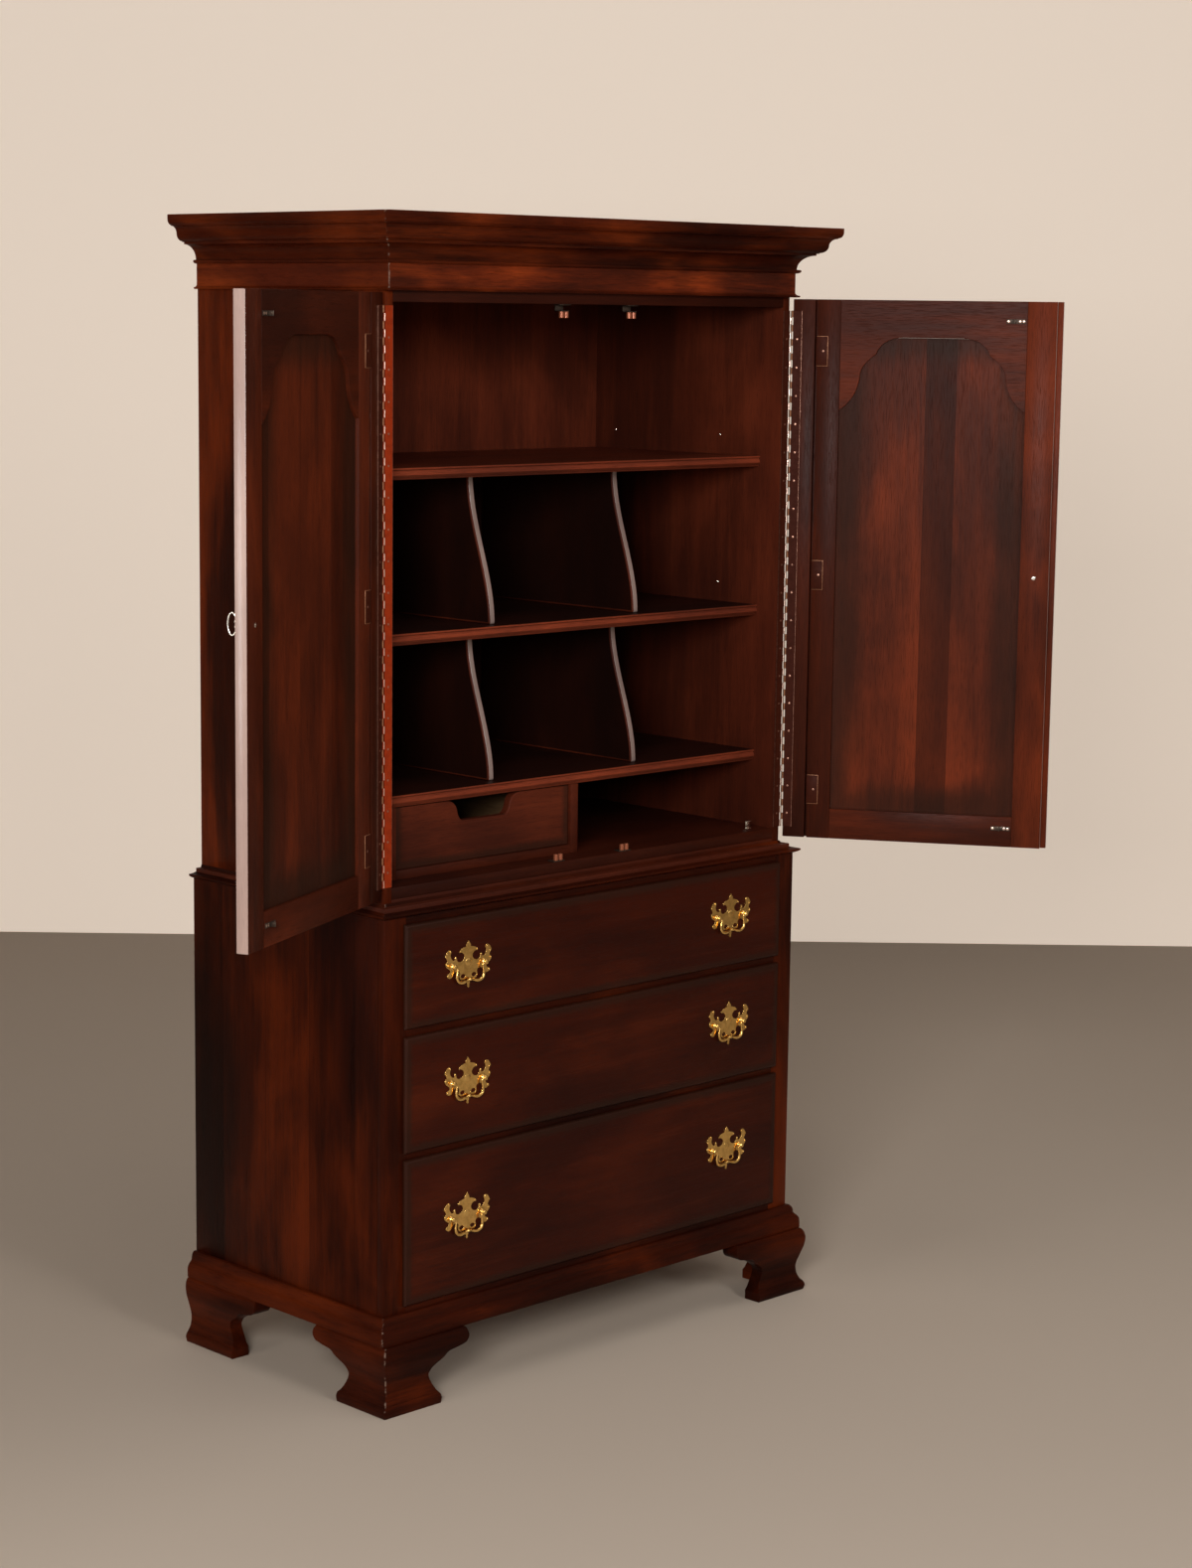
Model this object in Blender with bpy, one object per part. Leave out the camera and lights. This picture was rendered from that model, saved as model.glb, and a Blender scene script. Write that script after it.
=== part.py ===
"""Gentleman's chest: a drawer chest with a two-door cabinet on top, standing on ogee bracket feet.

Metres, +Z up, front towards -Y. Every piece is drawn with the doors closed, in the frame of the
case: x = 0 is the middle, y = 0 the front of the lower case, z = 0 the floor. The empty "case"
carries all of it, so that the middle of the whole footprint, open doors included, is the origin.
"""
import math

import bmesh
import bpy
from mathutils import Matrix, Vector

# Overall sizes
GAP = 0.0003
LOWER_HALF = 0.495
UPPER_HALF = 0.4775
CASE_BACK = 0.509
UPPER_FRONT = 0.0214
FOOT_HEIGHT = 0.118
BASE_TOP = 0.1624
LOWER_TOP = 0.8328
CORNICE_BOTTOM = 1.8437
CORNICE_STEP = 0.0099
CORNICE_TOP = 1.9665
TOP_BOARD_TOP = 1.9695

# Boards of the two cases
LOWER_SIDE = 0.018
UPPER_SIDE = 0.016
BACK_FRONT = 0.497
BACK_REAR = 0.503
LOWER_IN = LOWER_HALF - LOWER_SIDE
UPPER_IN = UPPER_HALF - UPPER_SIDE
UPPER_FLOOR = 0.8503
UPPER_CEILING = 1.9525

# Front frame of the drawers
FRAME_THICK = 0.016
POST_IN = 0.448
RAIL_THICK = 0.022
RAILS = ((FOOT_HEIGHT + GAP, 0.1775), (0.4193, 0.4393), (0.6285, 0.6485), (0.8170, LOWER_TOP - GAP))
RUNNER_IN = 0.405
GUIDE_IN = 0.4487
GUIDE_HEIGHT = 0.020
RUNNER_REAR = 0.496

# Drawers: lip bottom and top of each
DRAWERS = ((0.6448, 0.8207), (0.4350, 0.6321), (0.1736, 0.4235))
LIP_HALF = 0.4545
LIP_PROUD = 0.0083
LIP_ROUND = 0.0060
DRAWER_HALF = 0.4468
DRAWER_REAR = 0.470
DRAWER_FRONT = 0.020
DRAWER_SIDE = 0.012
DRAWER_FLOOR = 0.010
DRAWER_HEADROOM = 0.016

# Pulls
PULL_X = 0.3192
PULL_HEIGHTS = (0.7378, 0.5389, 0.3052)
PLATE_THICK = 0.0015
POST_X = 0.035
POST_RADIUS = 0.0042
POST_REACH = 0.0105
BAIL_AXIS = 0.0068
BAIL_PIN = 0.0012
BAIL_HOLE = 0.0016
BAIL_RADIUS = 0.0021
BAIL_MIDDLE = 0.0028

# Waist moulding, outwards from the lower case and up from its top
WAIST_TIP = 0.010
WAIST_RISE = 0.0218
WAIST_BOARD = 0.0169

# Shelves and dividers
SHELF_FRONT = 0.0701
SHELF_TOPS = (1.5587, 1.2878, 1.0200)
SHELF_THICK = 0.019
DIVIDER_X = 0.172
DIVIDER_THICK = 0.014
DIVIDER_FOOT = 0.027
DIVIDER_SWEEP = 0.0575
BOTTOM_TOP = 0.879
BOTTOM_UNDER = 0.860
TOP_RAIL_BOTTOM = 1.8258
TOP_RAIL_REAR = 0.0404

# Tray drawer and its bay
BAY_DIVISION = 0.0088
TRAY_LEFT = -0.4085
TRAY_RIGHT = -0.0115
TRAY_BOTTOM = 0.8950
TRAY_TOP = 0.9992
TRAY_FRONT = 0.0741
TRAY_REAR = 0.460
TRAY_WALL = 0.010
TRAY_PANEL = 0.016

# Doors, measured along the closed door from the hinge axis
AXIS_X = 0.4815
AXIS_Y = 0.0200
DOOR_BOTTOM = 0.8620
DOOR_TOP = 1.8410
DOOR_THICK = 0.0195
INNER_FACE = AXIS_Y - 0.0014
OUTER_FACE = INNER_FACE - DOOR_THICK
STILE_START = 0.0035
STILE_END = 0.0433
DOOR_START = 0.0478
DOOR_END = 0.4752
LIP_WIDTH = 0.010
LEFT_OPEN = 155.2
RIGHT_OPEN = 122.7

# Arched panel opening of a door
HINGE_MARGIN = 0.042
FREE_MARGIN = 0.052
BOTTOM_MARGIN = 0.055
SHOULDER_DROP = 0.197
PANEL_BACK = 0.006
PANEL_EDGE = 0.0120
PANEL_FIELD = 0.0165
FIELD_MARGIN = 0.030

# Continuous hinge
LEAF_THICK = 0.0009
LEAF_CLEAR = 0.0002
LEAF_WIDTH = 0.0195
LEAF_START = 0.0028
KNUCKLE_RADIUS = 0.0021
KNUCKLE_TAB = 0.0016
PIN_RADIUS = 0.0011
BORE_RADIUS = 0.0015
HINGE_BOTTOM = 0.881
HINGE_TOP = 1.820
KNUCKLES = 15

# Wrap hinges between stile and door
WRAP_HEIGHTS = (1.749, 1.346, 0.952)
WRAP_TALL = 0.0535
WRAP_AXIS = (STILE_END + DOOR_START) / 2
WRAP_AXIS_Y = OUTER_FACE - 0.0015
WRAP_BARREL = 0.0025
WRAP_PLATE = 0.0012
WRAP_WIDE = 0.0212

# Key-shaped door pull
KEY_FROM_EDGE = 0.027
KEY_Z = 1.352
KEY_BOLT = 0.0018
KEY_HOLE = 0.0024
KEY_STEM = 0.0028
KEY_FLANGE = 0.0075
KEY_BOW_HALF = 0.0185
KEY_BOW_DEEP = 0.0090
KEY_BOW_RING = 0.0042
KEY_REACH = 0.026

# Double-roller catches
CATCH_X = 0.080
CATCH_FRONT = 0.0225
CATCH_DEEP = 0.0165
CATCH_DROP = 0.0100
ROLLER_RADIUS = 0.0041
ROLLER_X = 0.0054
ROLLER_TALL = 0.011
CATCH_PLATE = 0.0015

ROUND_SIDES = 8

FINISHES = {
    "mahogany": ((0.130, 0.032, 0.016), 0.32, 0.0),
    "mahogany_inside": ((0.075, 0.022, 0.012), 0.45, 0.0),
    "drawer_wood": ((0.420, 0.270, 0.140), 0.60, 0.0),
    "back_wood": ((0.110, 0.040, 0.020), 0.65, 0.0),
    "brass": ((0.620, 0.440, 0.170), 0.28, 1.0),
    "hinge_brass": ((0.420, 0.300, 0.150), 0.38, 1.0),
    "pale_brass": ((0.600, 0.500, 0.300), 0.30, 1.0),
    "roller_brown": ((0.240, 0.080, 0.035), 0.50, 0.0),
}


def clear_scene():
    """Remove every object that is in the file."""
    for item in list(bpy.data.objects):
        bpy.data.objects.remove(item, do_unlink=True)


def make_finishes():
    """One Principled material for each named finish."""
    made = {}
    for name, (colour, roughness, metallic) in FINISHES.items():
        material = bpy.data.materials.new(name)
        material.use_nodes = True
        shader = material.node_tree.nodes["Principled BSDF"]
        shader.inputs["Base Color"].default_value = (*colour, 1.0)
        shader.inputs["Roughness"].default_value = roughness
        shader.inputs["Metallic"].default_value = metallic
        made[name] = material
    return made


def loft(rings):
    """A closed solid skinned through rings of equal point counts, capped at both ends."""
    shape = bmesh.new()
    loops = [[shape.verts.new(point) for point in ring] for ring in rings]
    for near, far in zip(loops, loops[1:]):
        for index, vertex in enumerate(near):
            following = (index + 1) % len(near)
            shape.faces.new((vertex, near[following], far[following], far[index]))
    shape.faces.new(loops[0])
    shape.faces.new(loops[-1])
    bmesh.ops.recalc_face_normals(shape, faces=shape.faces)
    return shape


def block(x_pair, y_pair, z_pair):
    """A rectangular board between two values on each axis, in either order."""
    x_low, x_high = sorted(x_pair)
    y_low, y_high = sorted(y_pair)
    corners = ((x_low, y_low), (x_high, y_low), (x_high, y_high), (x_low, y_high))
    return loft([[(x, y, z) for x, y in corners] for z in sorted(z_pair)])


def post(centre, radius, z_pair, sides=ROUND_SIDES):
    """An upright round bar."""
    return loft([circle(centre, radius, z, sides) for z in sorted(z_pair)])


def circle(centre, radius, height, sides):
    """Points of a level circle."""
    turns = [2 * math.pi * (index + 0.5) / sides for index in range(sides)]
    return [(centre[0] + radius * math.cos(a), centre[1] + radius * math.sin(a), height) for a in turns]


def rod(start, end, radius, sides=ROUND_SIDES):
    """A round bar between two points in any direction."""
    return tube([start, end], [radius, radius], sides)


def tube(points, radii, sides=ROUND_SIDES):
    """A round bar along a path, with a radius at each point."""
    path = [Vector(point) for point in points]
    rings = []
    side = None
    for index, point in enumerate(path):
        before = path[max(index - 1, 0)]
        after = path[min(index + 1, len(path) - 1)]
        along = (after - before).normalized()
        guide = side if side is not None else (Vector((0, 0, 1)) if abs(along.z) < 0.9 else Vector((0, 1, 0)))
        side = (guide - along * guide.dot(along)).normalized()
        across = along.cross(side)
        turns = [2 * math.pi * (turn + 0.5) / sides for turn in range(sides)]
        rings.append([point + (side * math.cos(a) + across * math.sin(a)) * radii[index] for a in turns])
    return loft(rings)


def bend(start, end, level_first, steps=4):
    """Points of a quarter ellipse after start, up to end, leaving start level or upright."""
    points = []
    for step in range(1, steps + 1):
        angle = step / steps * math.pi / 2
        fast, slow = math.sin(angle), 1 - math.cos(angle)
        share = (fast, slow) if level_first else (slow, fast)
        points.append(tuple(a + (b - a) * s for a, b, s in zip(start, end, share)))
    return points


def bow(start, control, end, steps=4):
    """Points of a quadratic curve after start, up to end."""
    points = []
    for step in range(1, steps + 1):
        t = step / steps
        weights = ((1 - t) ** 2, 2 * t * (1 - t), t * t)
        points.append(tuple(sum(w * p[k] for w, p in zip(weights, (start, control, end))) for k in (0, 1)))
    return points


def smooth(points, steps=3):
    """A Catmull-Rom curve through an open row of 2-D points."""
    padded = [points[0], *points, points[-1]]
    curve = [points[0]]
    for p0, p1, p2, p3 in zip(padded, padded[1:], padded[2:], padded[3:]):
        for step in range(1, steps + 1):
            t = step / steps
            curve.append(tuple(
                0.5 * (2 * b + (c - a) * t + (2 * a - 5 * b + 4 * c - d) * t * t + (3 * b - a - 3 * c + d) * t ** 3)
                for a, b, c, d in zip(p0, p1, p2, p3)))
    return curve


def combine(body, tools, operation):
    """Boolean of one solid with others; all of them are used up."""
    main = bpy.data.objects.new("body", bpy.data.meshes.new("body"))
    body.to_mesh(main.data)
    body.free()
    bpy.context.collection.objects.link(main)
    helpers = []
    for tool in tools:
        helper = bpy.data.objects.new("tool", bpy.data.meshes.new("tool"))
        tool.to_mesh(helper.data)
        tool.free()
        bpy.context.collection.objects.link(helper)
        modifier = main.modifiers.new("combine", "BOOLEAN")
        modifier.operation = operation
        modifier.object = helper
        helpers.append(helper)
    bpy.context.view_layer.update()
    evaluated = main.evaluated_get(bpy.context.evaluated_depsgraph_get())
    result = bmesh.new()
    result.from_mesh(evaluated.to_mesh())
    for item in [main, *helpers]:
        bpy.data.objects.remove(item, do_unlink=True)
    bmesh.ops.remove_doubles(result, verts=result.verts, dist=1e-6)
    return result


def fuse(body, *tools):
    """Glue solids into one."""
    return combine(body, tools, "UNION")


def carve(body, *tools):
    """Cut solids out of one."""
    return combine(body, tools, "DIFFERENCE")


class Shop:
    """Places finished solids as named objects."""

    def __init__(self):
        self.finishes = make_finishes()
        self.pivots = {}

    def pivot(self, name, place, parent=None, turn=0.0):
        """An empty at a joint, given in the closed frame and turned about its upright axis."""
        empty = bpy.data.objects.new(name, None)
        bpy.context.collection.objects.link(empty)
        base = Vector((0, 0, 0))
        if parent:
            empty.parent = bpy.data.objects[parent]
            base = self.pivots[parent]
        empty.location = Vector(place) - base
        empty.rotation_euler = (0, 0, math.radians(turn))
        self.pivots[name] = Vector(place)

    def place(self, name, shape, finish, parent="case", at=(0, 0, 0), smooth_below=None):
        """Make an object of a solid drawn in the closed frame, with its own origin at a point."""
        data = bpy.data.meshes.new(name)
        bmesh.ops.transform(shape, matrix=Matrix.Translation(-Vector(at)), verts=shape.verts)
        shape.to_mesh(data)
        shape.free()
        return self.place_mesh(name, data, finish, parent, at, smooth_below)

    def place_mesh(self, name, data, finish, parent, at, smooth_below=None):
        """Make an object of a mesh whose own origin is its joint or its middle."""
        item = bpy.data.objects.new(name, data)
        bpy.context.collection.objects.link(item)
        item.parent = bpy.data.objects[parent]
        base = Vector((0, 0, 0)) if parent == "case" else self.pivots[parent]
        item.location = Vector(at) - base
        if not data.materials:
            data.materials.append(self.finishes[finish])
        if smooth_below:
            data.shade_smooth()
            data.set_sharp_from_angle(angle=math.radians(smooth_below))
        return item


def footprint_middle():
    """Middle, in x and y, of the box round the case and its open doors."""
    reach = DOOR_END
    left = math.radians(LEFT_OPEN)
    right = math.radians(RIGHT_OPEN)
    inner = AXIS_Y - INNER_FACE
    outer = AXIS_Y - OUTER_FACE
    left_tip = -AXIS_X + reach * math.cos(left) - outer * math.sin(left)
    right_tip = AXIS_X - (reach + LIP_WIDTH) * math.cos(right) + outer * math.sin(right)
    front_tip = AXIS_Y - (reach + LIP_WIDTH) * math.sin(right) - inner * math.cos(right)
    return (left_tip + right_tip) / 2, (front_tip + CASE_BACK) / 2


def moulding(side_profile, front_profile, half, front, back):
    """A moulding mitred round left side, front and right side; profiles are (outwards, height)."""
    rings = []
    for sign, at_front in ((-1, False), (-1, True), (1, True), (1, False)):
        ring = []
        for (side_out, height), (front_out, _) in zip(side_profile, front_profile):
            y = front - front_out if at_front else back
            ring.append((sign * (half + side_out), y, height))
        rings.append(ring)
    return loft(rings)


def base_profile():
    """Base moulding: two rounded steps down to a plain band."""
    outline = [(GAP, BASE_TOP), (0.0040, BASE_TOP)]
    outline += bend(outline[-1], (0.0108, BASE_TOP - 0.0145), True)
    outline += bow(outline[-1], (0.0120, BASE_TOP - 0.0170), (0.0145, BASE_TOP - 0.0190), 2)
    outline += bow(outline[-1], (0.0197, BASE_TOP - 0.0240), (0.0197, BASE_TOP - 0.0310), 3)
    outline += [(0.0197, FOOT_HEIGHT + GAP), (GAP, FOOT_HEIGHT + GAP)]
    return outline


def waist_profile(inner):
    """Waist moulding: a thin rounded tip with a long hollow rising to the upper case."""
    tip_low = LOWER_TOP + 0.0048
    tip_high = LOWER_TOP + 0.0078
    outline = [(-inner, LOWER_TOP + GAP), (0.0020, LOWER_TOP + GAP), (0.0070, LOWER_TOP + 0.0026)]
    outline += [(WAIST_TIP, tip_low), (WAIST_TIP, tip_high)]
    outline += bend(outline[-1], (-inner, LOWER_TOP + WAIST_RISE), True, 7)
    return outline


def crown_profile():
    """Crown and frieze: flat band, round, ogee, fillet, cove, bead, frieze and lower bead."""
    drop = CORNICE_TOP
    outline = [(GAP, drop), (0.0620, drop), (0.0620, drop - 0.0067)]
    outline += bend(outline[-1], (0.0548, drop - 0.0176), False)
    outline += [(0.0548, drop - 0.0186)]
    outline += bend(outline[-1], (0.0432, drop - 0.0312), True)
    outline += bend(outline[-1], (0.0315, drop - 0.0439), False)
    outline += [(0.0315, drop - 0.0452), (0.0277, drop - 0.0452), (0.0277, drop - 0.0486)]
    outline += bend(outline[-1], (0.0030, drop - 0.0738), True, 7)
    outline += [(0.0075, drop - 0.0742)]
    outline += bend(outline[-1], (0.0090, drop - 0.0765), True, 2)
    outline += bend(outline[-1], (0.0016, drop - 0.0806), False, 3)
    outline += [(0.0016, drop - 0.1143)]
    outline += bend(outline[-1], (0.0083, drop - 0.1198), False, 3)
    outline += bend(outline[-1], (0.0065, CORNICE_BOTTOM), False, 2)
    outline += [(GAP, CORNICE_BOTTOM)]
    return outline


FOOT_PROFILE = (
    (0.0175, 0.118), (0.0222, 0.112), (0.0242, 0.101), (0.0226, 0.086), (0.0172, 0.068), (0.0130, 0.053),
    (0.0118, 0.041), (0.0138, 0.029), (0.0185, 0.0200), (0.0232, 0.0140), (0.0244, 0.0080), (0.0225, 0.0),
)
FOOT_INNER = -0.0125
FOOT_FORWARD = 0.0075
FOOT_LONG = 0.190
REAR_FOOT_LONGER = 0.006
BRACKET = (
    (0.1255, 0.0), (0.1255, 0.0165), (0.1205, 0.0220), (0.1072, 0.0480), (0.1088, 0.0580), (0.1150, 0.0655),
    (0.1335, 0.0765), (0.1420, 0.0850), (0.1530, 0.0880), (0.1690, 0.0905), (0.1820, 0.0945), (0.1882, 0.1055),
    (0.1846, 0.1190),
)


def foot_profile(forward=0.0):
    """Closed outline of an ogee bracket, outwards from the lower case and up from the floor."""
    outline = [(out + forward, height) for out, height in smooth(FOOT_PROFILE, 2)]
    return outline + [(FOOT_INNER, 0.0), (FOOT_INNER, FOOT_HEIGHT)]


def bracket_waste(corner):
    """Outline of what is sawn away beyond a bracket's curve, as (distance from the corner, height)."""
    below = -0.01
    beyond = FOOT_LONG + 0.02
    curve = [BRACKET[0], *smooth(BRACKET[1:], 2)]
    outline = [(curve[0][0], below), *curve, (beyond, curve[-1][1]), (beyond, below)]
    return [(corner - distance, height) for distance, height in outline]


def front_foot(side):
    """Two ogee brackets mitred at a front corner and sawn to the scroll outline."""
    side_profile = foot_profile()
    front_profile = foot_profile(FOOT_FORWARD)
    corner_x = LOWER_HALF + max(out for out, _ in side_profile)
    corner_y = max(out for out, _ in front_profile)
    inner_y = -FOOT_INNER
    rings = [[], [], []]
    for (side_out, height), (front_out, _) in zip(side_profile, front_profile):
        x = LOWER_HALF + side_out
        y = -front_out if side_out > FOOT_INNER else inner_y
        rings[0].append((side * (corner_x - FOOT_LONG), y, height))
        rings[1].append((side * x, y, height))
        rings[2].append((side * x, FOOT_LONG - corner_y, height))
    front_waste = bracket_waste(corner_x)
    side_waste = [(-y, z) for y, z in bracket_waste(corner_y)]
    cut_front = loft([[(side * x, y, z) for x, z in front_waste] for y in (-corner_y - 0.02, inner_y + 0.01)])
    inner_x = LOWER_HALF + FOOT_INNER - 0.01
    cut_side = loft([[(side * x, y, z) for y, z in side_waste] for x in (inner_x, corner_x + 0.02)])
    return carve(loft(rings), cut_front, cut_side)


def rear_foot(side):
    """One ogee bracket facing sideways, glued to a plain board across the back."""
    profile = foot_profile()
    long_y = CASE_BACK - FOOT_LONG - REAR_FOOT_LONGER
    bracket = loft([[(side * (LOWER_HALF + out), y, z) for out, z in profile] for y in (long_y, CASE_BACK)])
    waste = [(CASE_BACK - REAR_FOOT_LONGER + x, z) for x, z in bracket_waste(0.0)]
    inner_x = LOWER_HALF + FOOT_INNER - 0.01
    cut = loft([[(side * x, y, z) for y, z in waste] for x in (inner_x, LOWER_HALF + 0.05)])
    board_in = LOWER_HALF - 0.130
    board = block((side * (LOWER_HALF + FOOT_INNER + 0.004), side * board_in), (CASE_BACK - 0.020, CASE_BACK),
                  (0.0, FOOT_HEIGHT))
    notch = [(side * (board_in + x), z) for x, z in ((-0.01, -0.01), (0.055, -0.01), (0.030, 0.060), (-0.01, 0.085))]
    cut_board = loft([[(x, y, z) for x, z in notch] for y in (CASE_BACK - 0.03, CASE_BACK + 0.01)])
    return fuse(carve(bracket, cut), carve(board, cut_board))


def drawer_frame():
    """Posts, rails, runners and guides, glued into one."""
    low, high = RAILS[0][0], RAILS[-1][1]
    pieces = []
    for side in (-1, 1):
        pieces.append(block((side * POST_IN, side * LOWER_HALF), (0, FRAME_THICK), (low, high)))
    for bottom, top in RAILS:
        pieces.append(block((-POST_IN - 0.004, POST_IN + 0.004), (0.0, RAIL_THICK), (bottom, top)))
        for side in (-1, 1):
            outer = side * (LOWER_IN - GAP)
            pieces.append(block((side * RUNNER_IN, outer), (FRAME_THICK + GAP, RUNNER_REAR), (bottom, top)))
            if top < high:
                guide = (top - 0.002, top + GUIDE_HEIGHT)
                pieces.append(block((side * GUIDE_IN, outer), (FRAME_THICK + GAP, RUNNER_REAR), guide))
    return fuse(*pieces)


def drawer(bottom, top, floor_on):
    """A lipped drawer: thumb-moulded front, sides, back and floor."""
    def ring(depth, inset):
        x, low, high = LIP_HALF - inset, bottom + inset, top - inset
        return [(-x, depth, low), (x, depth, low), (x, depth, high), (-x, depth, high)]

    curve = bend((-LIP_PROUD + 0.0055, 0.0), (-LIP_PROUD, LIP_ROUND), True, 3)
    rings = [ring(-GAP, 0.0), ring(-LIP_PROUD + 0.0055, 0.0)] + [ring(depth, inset) for depth, inset in curve]
    lip = loft(rings)
    tongue = block((-DRAWER_HALF, DRAWER_HALF), (-0.002, DRAWER_FRONT), (floor_on + GAP, top - DRAWER_HEADROOM / 3))
    box_top = top - DRAWER_HEADROOM
    tub = block((-DRAWER_HALF, DRAWER_HALF), (DRAWER_FRONT - 0.002, DRAWER_REAR), (floor_on + GAP, box_top))
    inner_half = DRAWER_HALF - DRAWER_SIDE
    hollow = block((-inner_half, inner_half), (DRAWER_FRONT, DRAWER_REAR - DRAWER_SIDE),
                   (floor_on + DRAWER_FLOOR, box_top + 0.05))
    return fuse(lip, tongue, carve(tub, hollow))


def tray_drawer():
    """A flush tray with a finger notch cut in its front."""
    front = block((TRAY_LEFT, TRAY_RIGHT), (TRAY_FRONT, TRAY_FRONT + TRAY_PANEL), (TRAY_BOTTOM, TRAY_TOP))
    tub_left, tub_right = TRAY_LEFT + 0.002, TRAY_RIGHT - 0.002
    box_top = TRAY_TOP - 0.012
    tub = block((tub_left, tub_right), (TRAY_FRONT + TRAY_PANEL - 0.002, TRAY_REAR), (TRAY_BOTTOM, box_top))
    hollow = block((tub_left + TRAY_WALL, tub_right - TRAY_WALL), (TRAY_FRONT + TRAY_PANEL, TRAY_REAR - TRAY_WALL),
                   (TRAY_BOTTOM + 0.008, TRAY_TOP + 0.05))
    middle = (TRAY_LEFT + TRAY_RIGHT) / 2
    half_top, half_low, deep = 0.083, 0.045, 0.036
    half = [(half_top, 0.05), (half_top, 0.0)]
    half += bow(half[-1], (0.064, -0.001), (0.060, -0.018), 3)
    half += bow(half[-1], (0.056, -deep), (half_low, -deep), 3)
    outline = [(middle + x, TRAY_TOP + z) for x, z in half]
    outline += [(middle - x, TRAY_TOP + z) for x, z in reversed(half)]
    notch = loft([[(x, y, z) for x, z in outline] for y in (TRAY_FRONT - 0.01, TRAY_FRONT + TRAY_PANEL + 0.012)])
    return carve(fuse(front, carve(tub, hollow)), notch)


def waist_moulding():
    """Top board of the lower case with the moulding glued round its edge."""
    side_gap = LOWER_HALF - UPPER_HALF - GAP
    front_gap = UPPER_FRONT - GAP
    edge = moulding(waist_profile(side_gap), waist_profile(front_gap), LOWER_HALF, 0.0, CASE_BACK)
    inset = 0.005
    board = block((-LOWER_HALF + inset, LOWER_HALF - inset), (inset, CASE_BACK - GAP),
                  (LOWER_TOP + GAP, LOWER_TOP + WAIST_BOARD))
    return fuse(edge, board)


def upper_bottom():
    """Bottom board of the upper case with the fixed parts of the tray bay."""
    half = UPPER_IN - GAP
    rear = BACK_FRONT - GAP
    bay_top = SHELF_TOPS[2] - SHELF_THICK - GAP
    overlap = BOTTOM_TOP - 0.001
    board = block((-half, half), (UPPER_FRONT, rear), (BOTTOM_UNDER, BOTTOM_TOP))
    front_rail = block((-half, half), (UPPER_FRONT, UPPER_FRONT + 0.019), (UPPER_FLOOR, BOTTOM_UNDER + 0.001))
    back_rail = block((-half, half), (rear - 0.019, rear), (UPPER_FLOOR, BOTTOM_UNDER + 0.001))
    division = block((-BAY_DIVISION, BAY_DIVISION), (SHELF_FRONT, rear), (overlap, bay_top))
    filler = block((-half, TRAY_LEFT - 0.001), (SHELF_FRONT, rear), (overlap, bay_top))
    rail = block((TRAY_LEFT - 0.002, -BAY_DIVISION + 0.001), (SHELF_FRONT, SHELF_FRONT + 0.020),
                 (overlap, TRAY_BOTTOM - GAP))
    left_runner = block((TRAY_LEFT - 0.002, TRAY_LEFT + 0.018), (SHELF_FRONT + 0.019, rear),
                        (overlap, TRAY_BOTTOM - GAP))
    right_runner = block((TRAY_RIGHT - 0.018, -BAY_DIVISION + 0.001), (SHELF_FRONT + 0.019, rear),
                         (overlap, TRAY_BOTTOM - GAP))
    return fuse(board, front_rail, back_rail, division, filler, rail, left_runner, right_runner)


def cornice():
    """Crown moulding, frieze backing, top rail and top board, glued into one."""
    front = UPPER_FRONT - CORNICE_STEP
    inside = UPPER_IN - GAP
    rail_top = UPPER_CEILING + 0.002
    crown = moulding(crown_profile(), crown_profile(), UPPER_HALF, front, CASE_BACK)
    backing = block((-UPPER_HALF + GAP, UPPER_HALF - GAP), (front - 0.0010, UPPER_FRONT - GAP),
                    (CORNICE_BOTTOM, CORNICE_TOP))
    rail = block((-inside, inside), (UPPER_FRONT, TOP_RAIL_REAR), (TOP_RAIL_BOTTOM, rail_top))
    neck = block((-inside, inside), (UPPER_FRONT - 0.001, UPPER_FRONT + 0.001), (CORNICE_BOTTOM + 0.001, rail_top))
    overhang = 0.0010
    board = block((-UPPER_HALF - overhang, UPPER_HALF + overhang), (front - overhang, CASE_BACK - GAP),
                  (UPPER_CEILING + GAP, TOP_BOARD_TOP))
    return fuse(crown, backing, rail, neck, board)


def shelf(top):
    """A shelf whose front edge has a thin upper bead over a wide one."""
    low = top - SHELF_THICK
    front = SHELF_FRONT
    profile = [(BACK_FRONT - GAP, low), (BACK_FRONT - GAP, top), (front + 0.0015, top)]
    profile += bow(profile[-1], (front, top - 0.0015), (front + 0.0015, top - 0.0032), 2)
    profile += [(front + 0.0030, top - 0.0040)]
    profile += bow(profile[-1], (front - 0.0015, top - 0.0100), (front + 0.0030, top - 0.0160), 4)
    profile += [(front + 0.0020, top - 0.0170), (front + 0.0020, low)]
    half = UPPER_IN - GAP
    return loft([[(x, y, z) for y, z in profile] for x in (-half, half)])


def divider(side, bottom, top):
    """A thin upright divider whose front edge sweeps back in an S from foot to top."""
    low, high = bottom + GAP, top - GAP
    steps = 9
    curve = []
    for step in range(steps + 1):
        t = step / steps
        sweep = t * t * (3 - 2 * t)
        curve.append((SHELF_FRONT + DIVIDER_FOOT + DIVIDER_SWEEP * sweep, low + (high - low) * t))
    half = DIVIDER_THICK / 2
    rear = BACK_FRONT - GAP
    rings = []
    for across, inset in ((-half, 0.0025), (-half + 0.0025, 0.0), (half - 0.0025, 0.0), (half, 0.0025)):
        x = side * DIVIDER_X + across
        ring = [(x, y + inset, z) for y, z in curve] + [(x, rear, high), (x, rear, low)]
        rings.append(ring)
    return loft(rings)


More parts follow.
